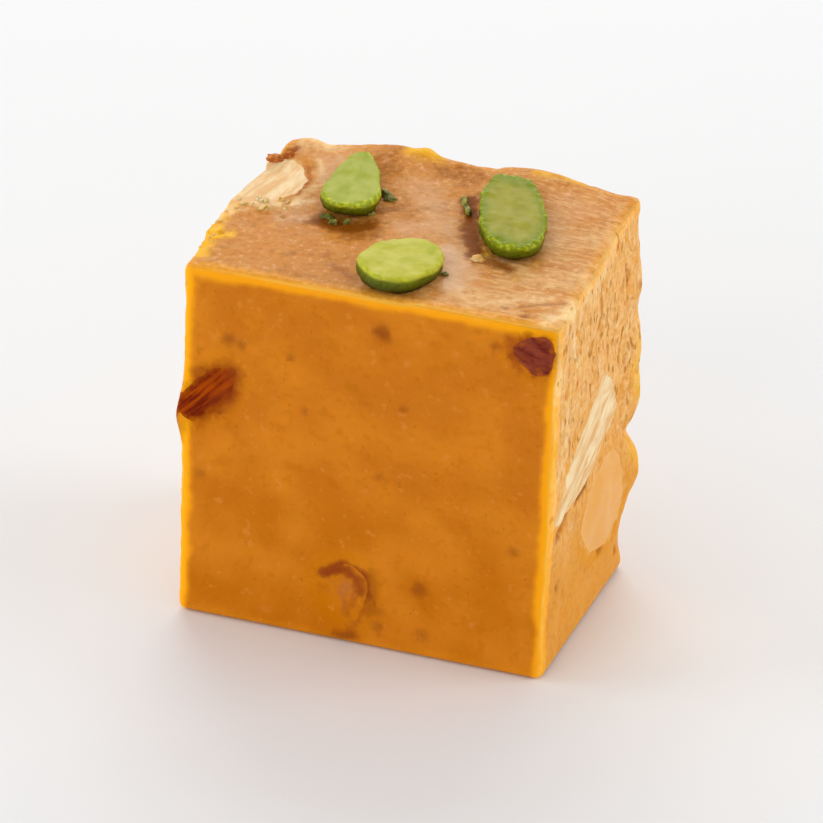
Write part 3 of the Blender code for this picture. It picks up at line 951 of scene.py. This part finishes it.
# %% Strokes of paint
STROKE_EXTENT = 2.2
STROKE_FALL = 2.6
COARSE_DEPTH, COARSE_SHARE = 0.55, 0.9
FINE_WAVES = (0.3, 0.5 * MM)
LEAST_WIDTH = 0.2
STROKES = {
    "fleck_and_hollow_shade": [
        ([(1.6, -14.3, 40.3)], 1.0, 0.8), ([(-8.6, -14.4, 35.0)], 0.5, 0.45),
        ([(-7.0, -14.3, 28.7)], 0.5, 0.4), ([(4.1, -14.1, 31.3)], 0.5, 0.45),
        ([(-19.1, -14.3, 18.3)], 0.6, 0.4), ([(1.6, -14.1, 22.1)], 0.6, 0.4),
        ([(14.7, -14.2, 41.4)], 0.7, 0.55), ([(6.5, -14.0, 8.9)], 0.9, 0.6),
        ([(17.3, -13.8, 16.1)], 0.6, 0.45), ([(1.6, -14.0, 3.0)], 0.7, 0.45),
        ([(6.8, -13.9, 3.2)], 0.8, 0.35), ([(-16.0, -14.6, 35.7)], 0.8, 0.6),
        ([(-14.6, -14.5, 35.6)], 0.7, 0.5), ([(0.7, -14.1, 9.0), (1.0, -14.1, 5.4)], 1.1, 0.50),
        ([(-3.0, -14.0, 0.8), (-1.0, -14.0, 1.2)], 0.7, 0.6),
        ([(-4.2, -14.3, 8.8), (-2.4, -14.3, 9.6)], 0.6, 0.40), ([(-14.9, -14.5, 30.6)], 0.9, 0.45),
        ([(-19.5, -14.5, 30.5), (-16.0, -14.5, 31.6)], 1.1, 0.5),
        ([(-19.4, -14.5, 25.8), (-15.6, -14.5, 29.2)], 0.9, 0.6), ([(14.7, -11.9, 44.5)], 0.4, 0.7),
        ([(17.1, -13.0, 44.5)], 0.45, 0.8), ([(-10.8, -8.9, 44.3)], 0.5, 0.4),
        ([(-7.3, -8.0, 44.4)], 0.5, 0.4), ([(16.1, -11.2, 44.6), (20.4, -8.9, 44.8)], 0.28, 0.6),
        ([(-6.3, -9.9, 44.4), (-2.8, -11.4, 44.3)], 0.45, 0.5), ([(6.4, -8.1, 44.7)], 0.8, 0.5),
        # The strokes from here to the end of this list lie in the crack behind the corner nut, in the slits
        # by the sliver and in the holes on the right side: painted shade in those hollows.
        ([(-20.9, 9.8, 45.0), (-19.2, 12.0, 45.3)], 0.35, 0.6),
        ([(21.0, -2.6, 20.0), (21.0, -5.6, 19.0)], 0.6, 0.9),
        ([(21.0, -8.2, 18.2), (21.0, -11.6, 17.2)], 0.5, 0.8), ([(21.0, 4.1, 7.2)], 0.7, 0.6),
        ([(21.0, 10.0, 4.2)], 0.7, 0.7), ([(21.0, -10.5, 10.1)], 0.6, 0.6),
    ],
    "stain_and_shade": [
        # Oil stains; along the feet of the slices these strokes are also painted shade.
        ([(-10.3, -1.6, 44.7), (-7.7, -2.0, 44.7), (-5.0, -0.6, 44.8)], 1.6, 0.95),
        ([(-6.5, -3.2, 44.7), (-4.5, -2.0, 44.7)], 1.6, 0.6), ([(-13.4, -2.4, 44.6)], 1.6, 0.3),
        ([(3.6, 7.6, 45.3), (5.8, 2.0, 45.1), (8.0, -2.4, 44.9)], 1.3, 0.95),
        ([(9.6, -3.8, 44.9), (12.6, -4.4, 44.9)], 1.0, 0.7), ([(2.6, 12.0, 45.9)], 2.2, 0.5),
        ([(-1.2, 12.1, 46.0), (3.4, 12.4, 46.0)], 1.8, 0.5),
        ([(-6.8, 10.6, 45.8), (-7.6, 13.6, 46.2)], 1.8, 0.45),
        ([(1.5, 5.8, 45.3), (-1.5, 4.0, 45.1)], 1.6, 0.35), ([(-2.6, -12.6, 44.3)], 1.0, 0.45),
        ([(11.8, 13.6, 46.4)], 1.8, 0.3), ([(-5.0, 2.6, 45.0), (-3.4, 4.4, 45.1)], 1.2, 0.5),
    ],
    "sheen_patch": [
        # Greasy patches: painted sheen in the colour, and the coat makes them glossy too.
        ([(5.1, -2.8, 44.9), (6.9, -5.8, 44.8), (7.6, -9.2, 44.6)], 1.7, 0.9),
        ([(8.6, -7.2, 44.8)], 1.6, 0.6), ([(-12.8, -1.4, 44.7), (-14.6, -2.0, 44.6)], 1.3, 0.55),
        ([(-2.6, 8.6, 45.5), (0.6, 5.0, 45.2)], 2.2, 0.5),
        ([(-0.9, -0.2, 45.0), (2.0, 1.0, 45.0)], 2.2, 0.4),
        ([(13.6, 4.8, 45.5), (14.6, 9.5, 45.9)], 2.4, 0.35),
        ([(-12.9, 7.6, 45.2), (-13.2, 11.0, 45.4)], 1.5, 0.5),
        ([(2.8, 3.4, 45.1), (3.4, 0.8, 45.0)], 1.0, 0.5),
    ],
    "glow": [
        ([(13.6, -6.0, 44.9)], 0.35, 0.6), ([(14.6, -2.2, 45.1)], 0.3, 0.6),
        ([(-15.0, -3.8, 44.6)], 0.3, 0.5), ([(-4.9, 14.6, 46.9), (-3.4, 14.6, 46.9)], 1.5, 1.0),
        ([(-20.2, -8.4, 44.3), (-18.6, -7.6, 44.4)], 0.7, 1.0),
        ([(-20.9, -7.2, 44.3), (-21.2, -10.4, 44.1)], 1.2, 1.0),
        ([(-20.6, -9.6, 44.2), (-20.3, -12.4, 44.0)], 0.9, 0.9),
        ([(-20.8, -4.6, 44.4), (-21.4, -2.0, 44.5)], 1.0, 0.5), ([(9.0, -2.3, 44.9)], 0.6, 0.8),
        ([(9.2, 14.4, 46.7), (14.0, 14.6, 46.5)], 0.9, 0.6),
        ([(22.2, 14.0, 27.5), (22.6, 14.0, 23.5)], 2.0, 0.6),
        ([(21.8, 11.8, 17.2), (22.0, 13.2, 13.0)], 1.0, 0.5),
    ],
    "ember": [
        ([(-21.6, -14.3, 25.0), (-22.0, -14.3, 22.6)], 1.2, 0.6), ([(-15.4, -14.5, 31.6)], 1.5, 0.6),
        ([(-17.6, -14.5, 27.6), (-15.6, -14.5, 29.4)], 1.2, 0.5), ([(-19.6, -14.5, 31.2)], 1.2, 0.4),
        ([(-4.6, -14.3, 8.6), (-2.4, -14.3, 9.7), (-0.7, -14.3, 8.6), (-0.4, -14.3, 7.2)], 0.75, 0.95),
        ([(-4.4, -14.3, 6.8)], 0.9, 0.35), ([(-0.6, -14.3, 7.6), (-1.2, -14.3, 5.4)], 0.6, 0.55),
        ([(-1.8, -14.2, 5.4), (-2.0, -14.1, 1.0)], 0.8, 0.50),
        ([(16.2, -14.2, 42.4), (17.2, -14.2, 39.2)], 1.0, 0.6),
        ([(-16.4, 9.8, 45.3), (-14.8, 6.8, 45.1), (-14.9, 3.2, 44.9)], 0.36, 0.70),
        # The first stroke on the next line runs along the crack behind the corner nut: painted shade in that
        # crack.
        ([(-21.0, 9.2, 45.0), (-18.8, 12.6, 45.4)], 0.7, 0.95), ([(2.2, -14.0, 1.9)], 0.6, 0.5),
    ],
    "cream_and_highlight": [
        # Strokes at x of 9 mm and more are painted highlight on the right edges and the right of the top;
        # the others are creamy crumbs.
        ([(-21.0, 1.6, 44.8), (-20.6, -1.0, 44.6), (-20.9, -4.0, 44.5)], 1.3, 0.8),
        ([(-18.8, 0.9, 44.9), (-15.6, 0.2, 44.9), (-13.9, 1.6, 45.0)], 1.1, 0.9),
        ([(-17.4, 13.6, 46.0), (-14.8, 14.2, 46.2)], 1.6, 0.7),
        ([(-14.2, 3.0, 45.0), (-13.6, 6.0, 45.2)], 0.6, 0.5),
        ([(20.6, -13.4, 44.3), (21.2, -9.0, 44.4)], 1.4, 0.9),
        ([(21.4, -6.0, 43.2), (21.4, 2.0, 43.8)], 1.2, 0.5),
        ([(21.3, -13.8, 42.6), (21.3, -13.6, 36.0)], 0.9, 0.8),
        ([(21.3, -11.0, 33.0), (21.3, -9.6, 27.0)], 0.8, 0.6),
        ([(21.3, -9.0, 41.0), (21.3, -7.4, 37.0)], 0.8, 0.7),
        ([(21.3, 1.8, 31.6), (21.3, 4.0, 28.6)], 1.3, 0.5),
        ([(12.6, -11.4, 44.5), (15.6, -10.2, 44.6), (18.6, -8.6, 44.7)], 0.7, 0.6),
        ([(9.0, -11.4, 44.6), (17.0, -9.6, 44.7)], 2.4, 0.40),
        ([(14.0, -5.6, 45.0), (20.0, -4.0, 45.0)], 2.6, 0.40),
        ([(15.6, 2.0, 45.3), (20.0, 5.0, 45.6)], 2.4, 0.30),
        ([(-15.2, 10.6, 45.4), (-13.4, 6.6, 45.2)], 0.5, 0.6),
    ],
}


def paint(piece, name, snap=True):
    """Store how much paint one kind of strokes leaves on each point; snap lays them on the piece first."""
    tree = point_tree([vertex.co for vertex in piece.data.vertices])
    painted = [0.0] * len(piece.data.vertices)
    for line, reach, strength in STROKES[name]:
        points = [tree.find(at(*place))[0] if snap else at(*place) for place in line]
        ends = list(zip(points, points[1:])) or [(points[0], points[0])]
        for start, end in ends:
            extent = (end - start).length / 2 + reach * STROKE_EXTENT * MM
            for spot, index, _ in tree.find_range((start + end) / 2, extent):
                ragged = uneven(spot, (COARSE_DEPTH, reach * COARSE_SHARE * MM), FINE_WAVES)
                away = to_line(spot, start, end) / (reach * MM * max(ragged, LEAST_WIDTH))
                painted[index] = max(painted[index], strength * math.exp(-away ** STROKE_FALL))
    write_numbers(piece, name, painted)


# %% Paint the fudge
write_values(fudge, "edge_glow", rim_value)
write_values(fudge, "edge_highlight", as_uncut(edge_highlight_value))
write_values(fudge, "torn_side", as_uncut(torn_value))
write_values(fudge, "poured_top", as_uncut(top_value))
write_values(fudge, "near_skin", distance_to(outlines["skin"]))
write_values(fudge, "near_pale", distance_to(outlines["pale"]))
write_values(fudge, "near_nut", distance_to(outlines["skin"] + outlines["pale"] + outlines["filmed"]))
for kind in STROKES:
    paint(fudge, kind)
for name in ("almond_lower_front", "almond_left_edge"):
    for kind in ("ember", "fleck_and_hollow_shade"):
        paint(nuts[name], kind, snap=False)
print("painted", sum(len(strokes) for strokes in STROKES.values()), "strokes")

# %% [markdown]
# ## Fudge
#
# Fudge is dense but lets light in a little way, so its shader scatters light below the surface, red
# furthest. Its colour is a warm ochre brown with cloudy patches, browner on top, and darker lower down by
# painted shade. Along the edges the colour is brighter and yellower: painted light for what thin fudge lets
# through, with a painted highlight on each edge's rounding, and a faint glow from emission stands in for
# that light as well. On top, greasy patches carry a painted sheen, the combed streaks on the right are
# lightened by painted sheen, and beside the slices oil stains are deepened by painted shade. Fine bumps
# break the sheen: almost none on the clean front, waves on top, grains and pores on the torn sides. Close to
# the nuts a twin shader without scattering takes over, so that their colours don't bleed into the fudge.

# %% Fudge material
SCATTER = (1.0, 0.42, 0.10)
FRAY_SIZE = 1.3 * MM
FRAY_WIDTH = 4.5
FRAY_SOFTNESS = 0.80


def shown(finish, outward):
    """How much of a nut shows at a distance outward from its outline: the outline is frayed by noise."""
    fray = finish.noise(FRAY_SIZE, 3.0, 0.6)
    return finish.step(outward + (fray - 0.5) * FRAY_WIDTH, FRAY_SOFTNESS, -FRAY_SOFTNESS)


def plain_fudge(finish):
    """Return the cloudy colour of clean-cut fudge, with painted shade that makes it a little darker lower
    down.
    """
    cloud = finish.noise(6.5 * MM, 3.0)
    mottle = finish.noise(1.6 * MM, 3.0, 0.6)
    grain = finish.noise(0.7 * MM, 3.0, 0.6)
    step = finish.step
    # Painted shade: the colour darkens towards the foot of the cube.
    colour = finish.mix((0.62, 0.183, 0.003), (0.66, 0.200, 0.011), step(finish.axis("Z"), 6 * MM, 28 * MM))
    return finish.layered(colour, {
        "lighter clouds": ((0.75, 0.252, 0.013), step(cloud, 0.35, 0.68)),
        "brown mottles": ((0.55, 0.150, 0.002), step(mottle, 0.50, 0.72) * 0.45),
        "pale mottles": ((0.82, 0.31, 0.045), step(mottle, 0.42, 0.28) * 0.50),
        "pale grains": ((0.84, 0.32, 0.045), step(grain, 0.36, 0.26) * 0.35),
        "dark grains": ((0.40, 0.10, 0.002), step(grain, 0.63, 0.76) * 0.5),
    })


def skin_marks(finish, colour):
    """Add the reddish and the dark marks that nut skins leave to a colour, and the painted shade that the
    same paint lays in slits, holes and a crack.
    """
    grain = finish.noise(0.7 * MM, 3.0, 0.6)
    ember = finish.step(finish.stored("ember") + (grain - 0.5) * 0.5, 0.08, 1.05)
    return finish.layered(colour, {
        "reddish marks": ((0.34, 0.060, 0.012), ember * 0.90),
        "dark skin specks and painted shade in hollows": ((0.21, 0.027, 0.005), finish.stored("fleck_and_hollow_shade") * 0.85),
    })


fudge_finish = Finish("fudge", Subsurface_Weight=0.5, Subsurface_Radius=SCATTER, Subsurface_Scale=0.9 * MM,
                      Specular_IOR_Level=0.04, Coat_Roughness=0.18, Coat_IOR=1.45, Emission_Strength=1.0)
step, mix = fudge_finish.step, fudge_finish.mix
rim, line, torn, top, sunken = [fudge_finish.stored(name) for name in
                                ("edge_glow", "edge_highlight", "torn_side", "poured_top", "sunk")]
glow, stain_and_shade, sheen_patch, cream_and_highlight = [fudge_finish.stored(name) for name in ("glow", "stain_and_shade", "sheen_patch", "cream_and_highlight")]
near_skin, near_pale, near_nut = [fudge_finish.stored(name) for name in
                                  ("near_skin", "near_pale", "near_nut")]
across = fudge_finish.axis("X")
cloud = fudge_finish.noise(6.5 * MM, 3.0)
mottle = fudge_finish.noise(1.6 * MM, 3.0, 0.6)
grain = fudge_finish.noise(0.7 * MM, 3.0, 0.6)
waves = fudge_finish.noise(1.3 * MM, 3.0, 0.6, stretch=(1.7, 1, 1))
pits = fudge_finish.noise(0.80 * MM, 1.0, 0.5, stretch=(1, 1, 2.2))
streaks = fudge_finish.noise(0.50 * MM, 3.0, 0.6, stretch=(1, 1, 6))
combed = fudge_finish.noise(0.42 * MM, 3.0, 0.6, stretch=(5, 1, 1))
high = step(fudge_finish.axis("Z"), 8 * MM, 26 * MM)
pit = step(pits, 0.62, 0.71) * high
torn_colour = mix((0.82, 0.37, 0.060), (0.94, 0.56, 0.21), high)
# Painted highlight along the rounded edges, stronger on the left.
lit_line = line * (step(across, -21 * MM, -12 * MM) * 0.55 + 0.25)
oil_and_slice_shade = step(stain_and_shade + (mottle + grain - 1.0) * 0.45, 0.10, 0.95)

colour = fudge_finish.layered(plain_fudge(fudge_finish), {
    "torn fudge": (torn_colour, torn * (step(grain, 0.35, 0.65) * 0.45 + 0.45)),
    "torn, yellow mottles": ((0.82, 0.34, 0.04), torn * step(mottle, 0.48, 0.66) * 0.6),
    "torn, pale streaks": ((0.96, 0.66, 0.33), torn * high * step(streaks, 0.54, 0.68) * 0.7),
    "torn, ochre streaks": ((0.80, 0.30, 0.03), torn * step(streaks, 0.44, 0.32) * 0.5),
    "top fudge": ((0.66, 0.28, 0.055), top * (step(waves, 0.35, 0.65) * 0.3 + 0.6)),
    "top, brown clouds": ((0.54, 0.19, 0.030), top * step(cloud, 0.42, 0.62) * 0.45),
    "top, dark grains": ((0.45, 0.15, 0.022), top * step(grain, 0.53, 0.66) * 0.55),
    "top, light grains": ((0.90, 0.54, 0.27), top * step(grain, 0.46, 0.32) * 0.40),
    # The combed streaks follow the grain of the top; their paleness towards the right is painted sheen.
    "top, combed streaks with painted sheen, to the right": ((0.86, 0.50, 0.20), top * step(across, -6 * MM, 14 * MM)
                                 * step(combed, 0.48, 0.66) * 0.6),
    # Painted sheen on the greasy patches.
    "painted sheen on greasy patches": ((0.74, 0.42, 0.19), sheen_patch * 0.8),
    "light through the edges": ((1.0, 0.40, 0.002), rim * (1 - top * 0.75) * (1 - torn * 0.5)),
    "painted highlight on an edge": ((1.0, 0.58, 0.10), lit_line),
    "glowing places": ((0.98, 0.52, 0.02), glow * 0.9),
    # Cream: creamy crumbs, and painted highlight on the right edges and the right of the top.
    "cream_and_highlight": ((0.96, 0.68, 0.34), cream_and_highlight * (torn + top) * (step(mottle, 0.60, 0.40) * 0.6 + 0.4)),
    # Oil stains, and painted shade at the feet of the slices.
    "oil with painted shade by the slices": ((0.25, 0.062, 0.001), oil_and_slice_shade * 0.95),
    "pale flesh in a film": ((0.88, 0.58, 0.24), shown(fudge_finish, near_pale + 0.15) * 0.7),
    "red around a dark skin": ((0.46, 0.10, 0.003), step(near_skin, 1.8, 0.1) * 0.30),
    "dark skin in a film": ((0.24, 0.030, 0.003), shown(fudge_finish, near_skin) * 0.65),
})
colour = fudge_finish.layered(skin_marks(fudge_finish, colour), {
    "shade in the fine pits": ((0.60, 0.20, 0.012), torn * pit * 0.7),
    "shade in the pores": ((0.50, 0.15, 0.012), torn * step(sunken, 0.05, 0.45) * 0.55),
})
sheen = 0.52 - top * 0.12 + (grain - 0.5) * 0.25 - sheen_patch * 0.1
height = mottle * 0.14 + torn * (grain * 0.5 + streaks * 0.4 - pit * 0.7)
height = height + top * (waves * 0.9 + grain * 0.6 + combed * 0.35)
fudge_finish.surface(colour, sheen, height, 0.30 * MM)
grease = (top * 0.14 + sheen_patch * 0.45) * (1 - stain_and_shade)
through_light = mix((0.0, 0.0, 0.0), (0.17, 0.095, 0.004), rim)
fudge_finish.connect(grease, fudge_finish.shader.inputs["Coat Weight"])
fudge_finish.connect(through_light, fudge_finish.shader.inputs["Emission Color"])
fudge_finish.firm(step(near_nut, 2.6, 1.0))
fudge_finish.wear(fudge)
settle(fudge, "fudge", "barfi_block")

# %% Crumb of fudge material
crumb_finish = Finish("fudge_crumb", Subsurface_Weight=0.5, Subsurface_Radius=SCATTER,
                      Subsurface_Scale=1.0 * MM, Specular_IOR_Level=0.3)
grain = crumb_finish.noise(0.5 * MM, 3.0, 0.6)
patch = crumb_finish.noise(1.6 * MM)
colour = crumb_finish.layered((0.90, 0.50, 0.13), {
    "pale patches": ((0.94, 0.66, 0.34), crumb_finish.step(patch, 0.4, 0.6)),
    "brown grains": ((0.55, 0.19, 0.03), crumb_finish.step(grain, 0.55, 0.75) * 0.6),
})
crumb_finish.surface(colour, 0.55 + (grain - 0.5) * 0.2, grain, 0.2 * MM)
crumb_finish.wear(fudge_crumbs)
settle(fudge_crumbs, "fudge")

# %% [markdown]
# ## Cut nuts and dark skins
#
# A cut nut is pale and waxy, with faint lines along its length and a thin brown skin at its outline.
# Where the knife only grazed an almond, its dark wrinkled skin shows, under a film of fudge that closes
# over its edge. The finishes read the nut's own axes, so the lines follow each nut whichever way it
# lies.


# %% Nut materials
def nut_finish(name, flesh, shade, film, lines, gloss=0.2, line_size=0.24, skin=0.0):
    """Return the finish of a nut: two tones, the film of fudge on it, and how its lines and skin show."""
    finish = Finish(name, Specular_IOR_Level=gloss)
    own = finish.stored("nut_place", "Vector")
    inward = finish.stored("to_outline")
    fibre = finish.noise(line_size, 4.0, 0.65, own, (6.0, 1.0, 1.0))
    patch = finish.noise(0.45, 3.0, 0.55, own)
    colour = finish.layered(flesh, {
        "patches": (shade, finish.step(patch, 0.40, 0.65) * 0.5),
        "lines": (shade, finish.step(fibre, 0.44, 0.60) * lines),
    })
    if skin:
        near_outline = finish.step(inward + (patch - 0.5) * 0.6, 0.40, 0.15)
        colour = finish.mix(colour, (0.42, 0.16, 0.04), near_outline * skin)
    colour = finish.mix(film, colour, shown(finish, inward * -1.0))
    colour = skin_marks(finish, colour)
    finish.surface(colour, 0.42 + (fibre - 0.5) * 0.3, fibre * 0.6 + patch * 0.4, 0.25 * MM)
    return finish


NUT_LOOKS = {
    "pale_nut": {"flesh": (0.86, 0.60, 0.29), "shade": (0.82, 0.47, 0.16), "film": (0.80, 0.40, 0.10),
                 "lines": 0.45, "skin": 0.6},
    "broken_nut": {"flesh": (0.94, 0.71, 0.39), "shade": (0.82, 0.46, 0.17), "film": (0.88, 0.58, 0.26),
                   "lines": 0.9},
    "honey_nut": {"flesh": (0.87, 0.42, 0.085), "shade": (0.85, 0.38, 0.065), "film": (0.88, 0.46, 0.12),
                  "lines": 0.25},
    "white_sliver": {"flesh": (0.97, 0.77, 0.44), "shade": (0.80, 0.43, 0.13), "film": (0.88, 0.50, 0.15),
                     "lines": 0.9},
    "dark_skin": {"flesh": (0.17, 0.014, 0.004), "shade": (0.50, 0.080, 0.003), "film": (0.48, 0.12, 0.003),
                  "lines": 0.8, "gloss": 0.0, "line_size": 0.30},
    "mauve_skin": {"flesh": (0.15, 0.013, 0.005), "shade": (0.34, 0.062, 0.026), "film": (0.42, 0.09, 0.004),
                   "lines": 0.5, "gloss": 0.1, "line_size": 0.30},
}
nut_finishes = {name: nut_finish(name, **look) for name, look in NUT_LOOKS.items()}

# %% An almond under a film of fudge
filmed_skin = Finish("filmed_skin", Specular_IOR_Level=0.0)
inward = filmed_skin.stored("to_outline")
patch = filmed_skin.noise(1.3 * MM, 3.0, 0.6)
mauve = filmed_skin.step(inward + (patch - 0.5) * 5.0, 0.8, 2.4)
colour = filmed_skin.mix(plain_fudge(filmed_skin), (0.50, 0.150, 0.050), mauve * 0.5)
filmed_skin.surface(skin_marks(filmed_skin, colour), 0.52 + (patch - 0.5) * 0.2, patch * 0.2, 0.25 * MM)
nut_finishes["filmed_skin"] = filmed_skin

# %% Put the finishes on the nuts
FINISH_OF_NUT = {
    "cashew_right_side": "honey_nut",
    "cashew_top_corner": "broken_nut",
    "almond_sliver_side": "white_sliver",
    "almond_lower_front": "filmed_skin",
    "almond_upper_right": "mauve_skin",
}
for name, nut in nuts.items():
    dark = name in SKIN_PIECES
    nut_finishes[FINISH_OF_NUT.get(name, "dark_skin" if dark else "pale_nut")].wear(nut)
    settle(nut, "almond_skin" if dark else "nut", name)
print("finished", len(nuts), "nuts")

# %% [markdown]
# ## Pistachio
#
# The cut face is a light yellow green with fine marks of the blade, the rim brighter, partly in its own
# green and partly by painted glints, and the side below it dark green to purple, where the skin is, darkened
# lower down by painted shade. The slice's own height tells face from skin. No two slices have quite the same
# green.


# %% Pistachio materials
def slice_finish(name, face, shade, zone, zone_start, lip):
    """Return the finish of a slice: two tones of its face, a greener zone round it, a bright lip with
    painted glints, and its skin with painted shade lower down.
    """
    finish = Finish(name, Subsurface_Weight=0.25, Subsurface_Radius=(0.8, 1.0, 0.15),
                    Subsurface_Scale=0.5 * MM, Specular_IOR_Level=0.12)
    own = finish.stored("slice_place", "Vector")
    reach = finish.stored("slice_reach")
    depth = finish.axis("Z", own)
    marks = finish.noise(0.20, 3.0, 0.6, own, (3.0, 1.0, 1.0))
    patch = finish.noise(0.50, 2.0, 0.5, own)
    speckle = finish.noise(0.45 * MM, 2.0)
    step = finish.step
    skin = finish.layered((0.13, 0.15, 0.003), {
        # Painted shade: the skin darkens lower down the slice, towards the fudge.
        "painted shade lower down": ((0.036, 0.034, 0.001), step(depth, -0.25, -0.70)),
        "dark speckles": ((0.03, 0.03, 0.001), step(speckle, 0.50, 0.68) * 0.5),
    })
    colour = finish.layered(face, {
        "shade": (shade, step(patch, 0.25, 0.80)),
        "marks of the blade": (zone, step(marks, 0.52, 0.70) * 0.25),
        "greener zone": (zone, step(reach + (patch - 0.5) * 0.45, zone_start, zone_start + 0.30) * 0.85),
        # The bright lip is the rim's own lighter green, speckled with painted glints.
        "bright lip with painted glints": (lip, step(reach, 0.88, 0.96) * step(speckle, 0.46, 0.64) * 0.85),
        "skin": (skin, step(depth + (patch - 0.5) * 0.12, -0.10, -0.28)),
    })
    finish.surface(colour, 0.40 + (marks - 0.5) * 0.25, marks * 0.4 + patch * 0.3, 0.15 * MM)
    return finish


SLICE_LOOKS = {
    "pistachio_slice_left": {
        "name": "pistachio_fresh", "face": (0.44, 0.46, 0.06), "shade": (0.33, 0.37, 0.020),
        "zone": (0.28, 0.35, 0.005), "zone_start": 0.78, "lip": (0.60, 0.62, 0.03)},
    "pistachio_slice_right": {
        "name": "pistachio_ripe", "face": (0.37, 0.34, 0.025), "shade": (0.30, 0.28, 0.010),
        "zone": (0.19, 0.25, 0.002), "zone_start": 0.62, "lip": (0.46, 0.50, 0.015)},
    "pistachio_slice_front": {
        "name": "pistachio_light", "face": (0.60, 0.56, 0.08), "shade": (0.47, 0.47, 0.035),
        "zone": (0.34, 0.40, 0.005), "zone_start": 0.84, "lip": (0.60, 0.62, 0.03)},
}
for name, piece in slices.items():
    slice_finish(**SLICE_LOOKS[name]).wear(piece)
    settle(piece, "pistachio", name)
print("finished", len(slices), "slices")

# %% Skin crumb material
skin_bits = Finish("skin_crumb", Specular_IOR_Level=0.2)
patch = skin_bits.noise(0.6 * MM)
colour = skin_bits.mix((0.42, 0.10, 0.010), (0.72, 0.25, 0.035), skin_bits.step(patch, 0.40, 0.62))
skin_bits.surface(colour, 0.5 + (patch - 0.5) * 0.2, patch, 0.15 * MM)
skin_bits.wear(skin_crumbs)
settle(skin_crumbs, "almond_skin")

# %% Green crumb material
green_bits = Finish("pistachio_crumb", Subsurface_Weight=0.2, Subsurface_Radius=(0.8, 1.0, 0.25),
                    Subsurface_Scale=0.5 * MM)
patch = green_bits.noise(0.8 * MM)
grain = green_bits.noise(0.3 * MM)
colour = green_bits.mix((0.14, 0.13, 0.008), (0.36, 0.38, 0.05), green_bits.step(patch, 0.45, 0.62))
green_bits.surface(colour, 0.5 + (grain - 0.5) * 0.2, grain, 0.15 * MM)
green_bits.wear(green_crumbs)
settle(green_crumbs, "pistachio")

# %% [markdown]
# ## Smooth shading
#
# All pieces are shaded smooth, but a cut rim has to stay crisp, so edges sharper than an angle keep
# their crease.

# %% Shade the pieces
CREASE = math.radians(28)
WIDE_CREASE = math.radians(50)
for piece in [fudge, fudge_crumbs, green_crumbs, skin_crumbs, *nuts.values(), *slices.values()]:
    pick(piece)
    flush = piece is fudge or piece in nuts.values()
    bpy.ops.object.shade_smooth_by_angle(angle=CREASE if flush else WIDE_CREASE)
    if flush:
        finish_piece(piece, "WEIGHTED_NORMAL", keep_sharp=True)

# %% [markdown]
# ## The table and the light
#
# The sweet stands on a plain pale table in a white tent. One soft lamp hangs above and behind it and
# makes the top shine, one stands on each side, and a weaker one stands in front.

# %% Floor
FLOOR_SIZE = 4.0
FLOOR_GAP = 0.02 * MM
bpy.ops.mesh.primitive_plane_add(size=FLOOR_SIZE, location=(0, 0, -FLOOR_GAP))
floor = bpy.context.object
floor.name = "pale_table"
table_finish = Finish("pale_table")
cloth = table_finish.noise(30 * MM)
table_finish.surface(table_finish.mix((0.83, 0.83, 0.83), (0.84, 0.84, 0.84), cloth), 0.7, cloth, 0.0)
table_finish.wear(floor)
floor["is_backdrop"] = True


# %% World and lamps
TENT_STRENGTH = 0.54
LAMP_AIM = Vector((0, 0, 0.02))
LAMPS = {
    "lamp_above_behind": {"place": (-0.16, 0.48, 0.42), "size": 0.5, "power": 1.6},
    "lamp_left": {"place": (-0.55, -0.15, 0.30), "size": 0.4, "power": 1.1},
    "lamp_right": {"place": (0.60, 0.15, 0.30), "size": 0.4, "power": 1.6},
    "lamp_front": {"place": (-0.20, -0.70, 0.35), "size": 0.5, "power": 1.2},
}


def add_lamp(name, place, size, power):
    """Add a soft square lamp that points at the cube."""
    bpy.ops.object.light_add(type="AREA", location=place)
    lamp = bpy.context.object
    lamp.name = name
    lamp.data.size = size
    lamp.data.energy = power
    lamp.rotation_euler = (LAMP_AIM - Vector(place)).to_track_quat("-Z", "Y").to_euler()


world = bpy.data.worlds.new("white_tent")
world.use_nodes = True
world.node_tree.nodes["Background"].inputs["Color"].default_value = (1.0, 1.0, 1.0, 1.0)
world.node_tree.nodes["Background"].inputs["Strength"].default_value = TENT_STRENGTH
bpy.context.scene.world = world
for name, lamp in LAMPS.items():
    add_lamp(name, **lamp)
bpy.context.scene.view_settings.view_transform = "Standard"
bpy.context.scene.view_settings.look = "None"

# %% [markdown]
# ## The camera
#
# The photograph looks down from the right of the front through a long lens. The camera stands where a
# box fitted to the cube's corners puts it, and is turned a little about its line of sight.

# %% Camera
CAMERA_YAW = math.radians(19.5)
CAMERA_ELEVATION = math.radians(29.5)
CAMERA_ROLL = math.radians(1.37)
CAMERA_DISTANCE = 0.850
LOOK_AT = at(-0.1, 0.6, 22.1)
FRAME_WIDTH = 91.03 * MM
SENSOR_WIDTH = 36.0
NEAR_CLIP = 0.01

back = Vector((math.sin(CAMERA_YAW) * math.cos(CAMERA_ELEVATION),
               -math.cos(CAMERA_YAW) * math.cos(CAMERA_ELEVATION), math.sin(CAMERA_ELEVATION)))
bpy.ops.object.camera_add(location=LOOK_AT + back * CAMERA_DISTANCE)
camera = bpy.context.object
camera.data.sensor_width = SENSOR_WIDTH
camera.data.lens = SENSOR_WIDTH * CAMERA_DISTANCE / FRAME_WIDTH
camera.data.clip_start = NEAR_CLIP
level = (-back).to_track_quat("-Z", "Y").to_matrix()
camera.rotation_euler = (level @ Matrix.Rotation(CAMERA_ROLL, 3, "Z")).to_euler()
bpy.context.scene.camera = camera

# %% Compare the size with the solids and finish
low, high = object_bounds()
{"cad": [list(cad_low), list(cad_high)], "visual": [list(low), list(high)]}
print("the dressed cube measures", [round(side / MM, 1) for side in high - low], "mm")
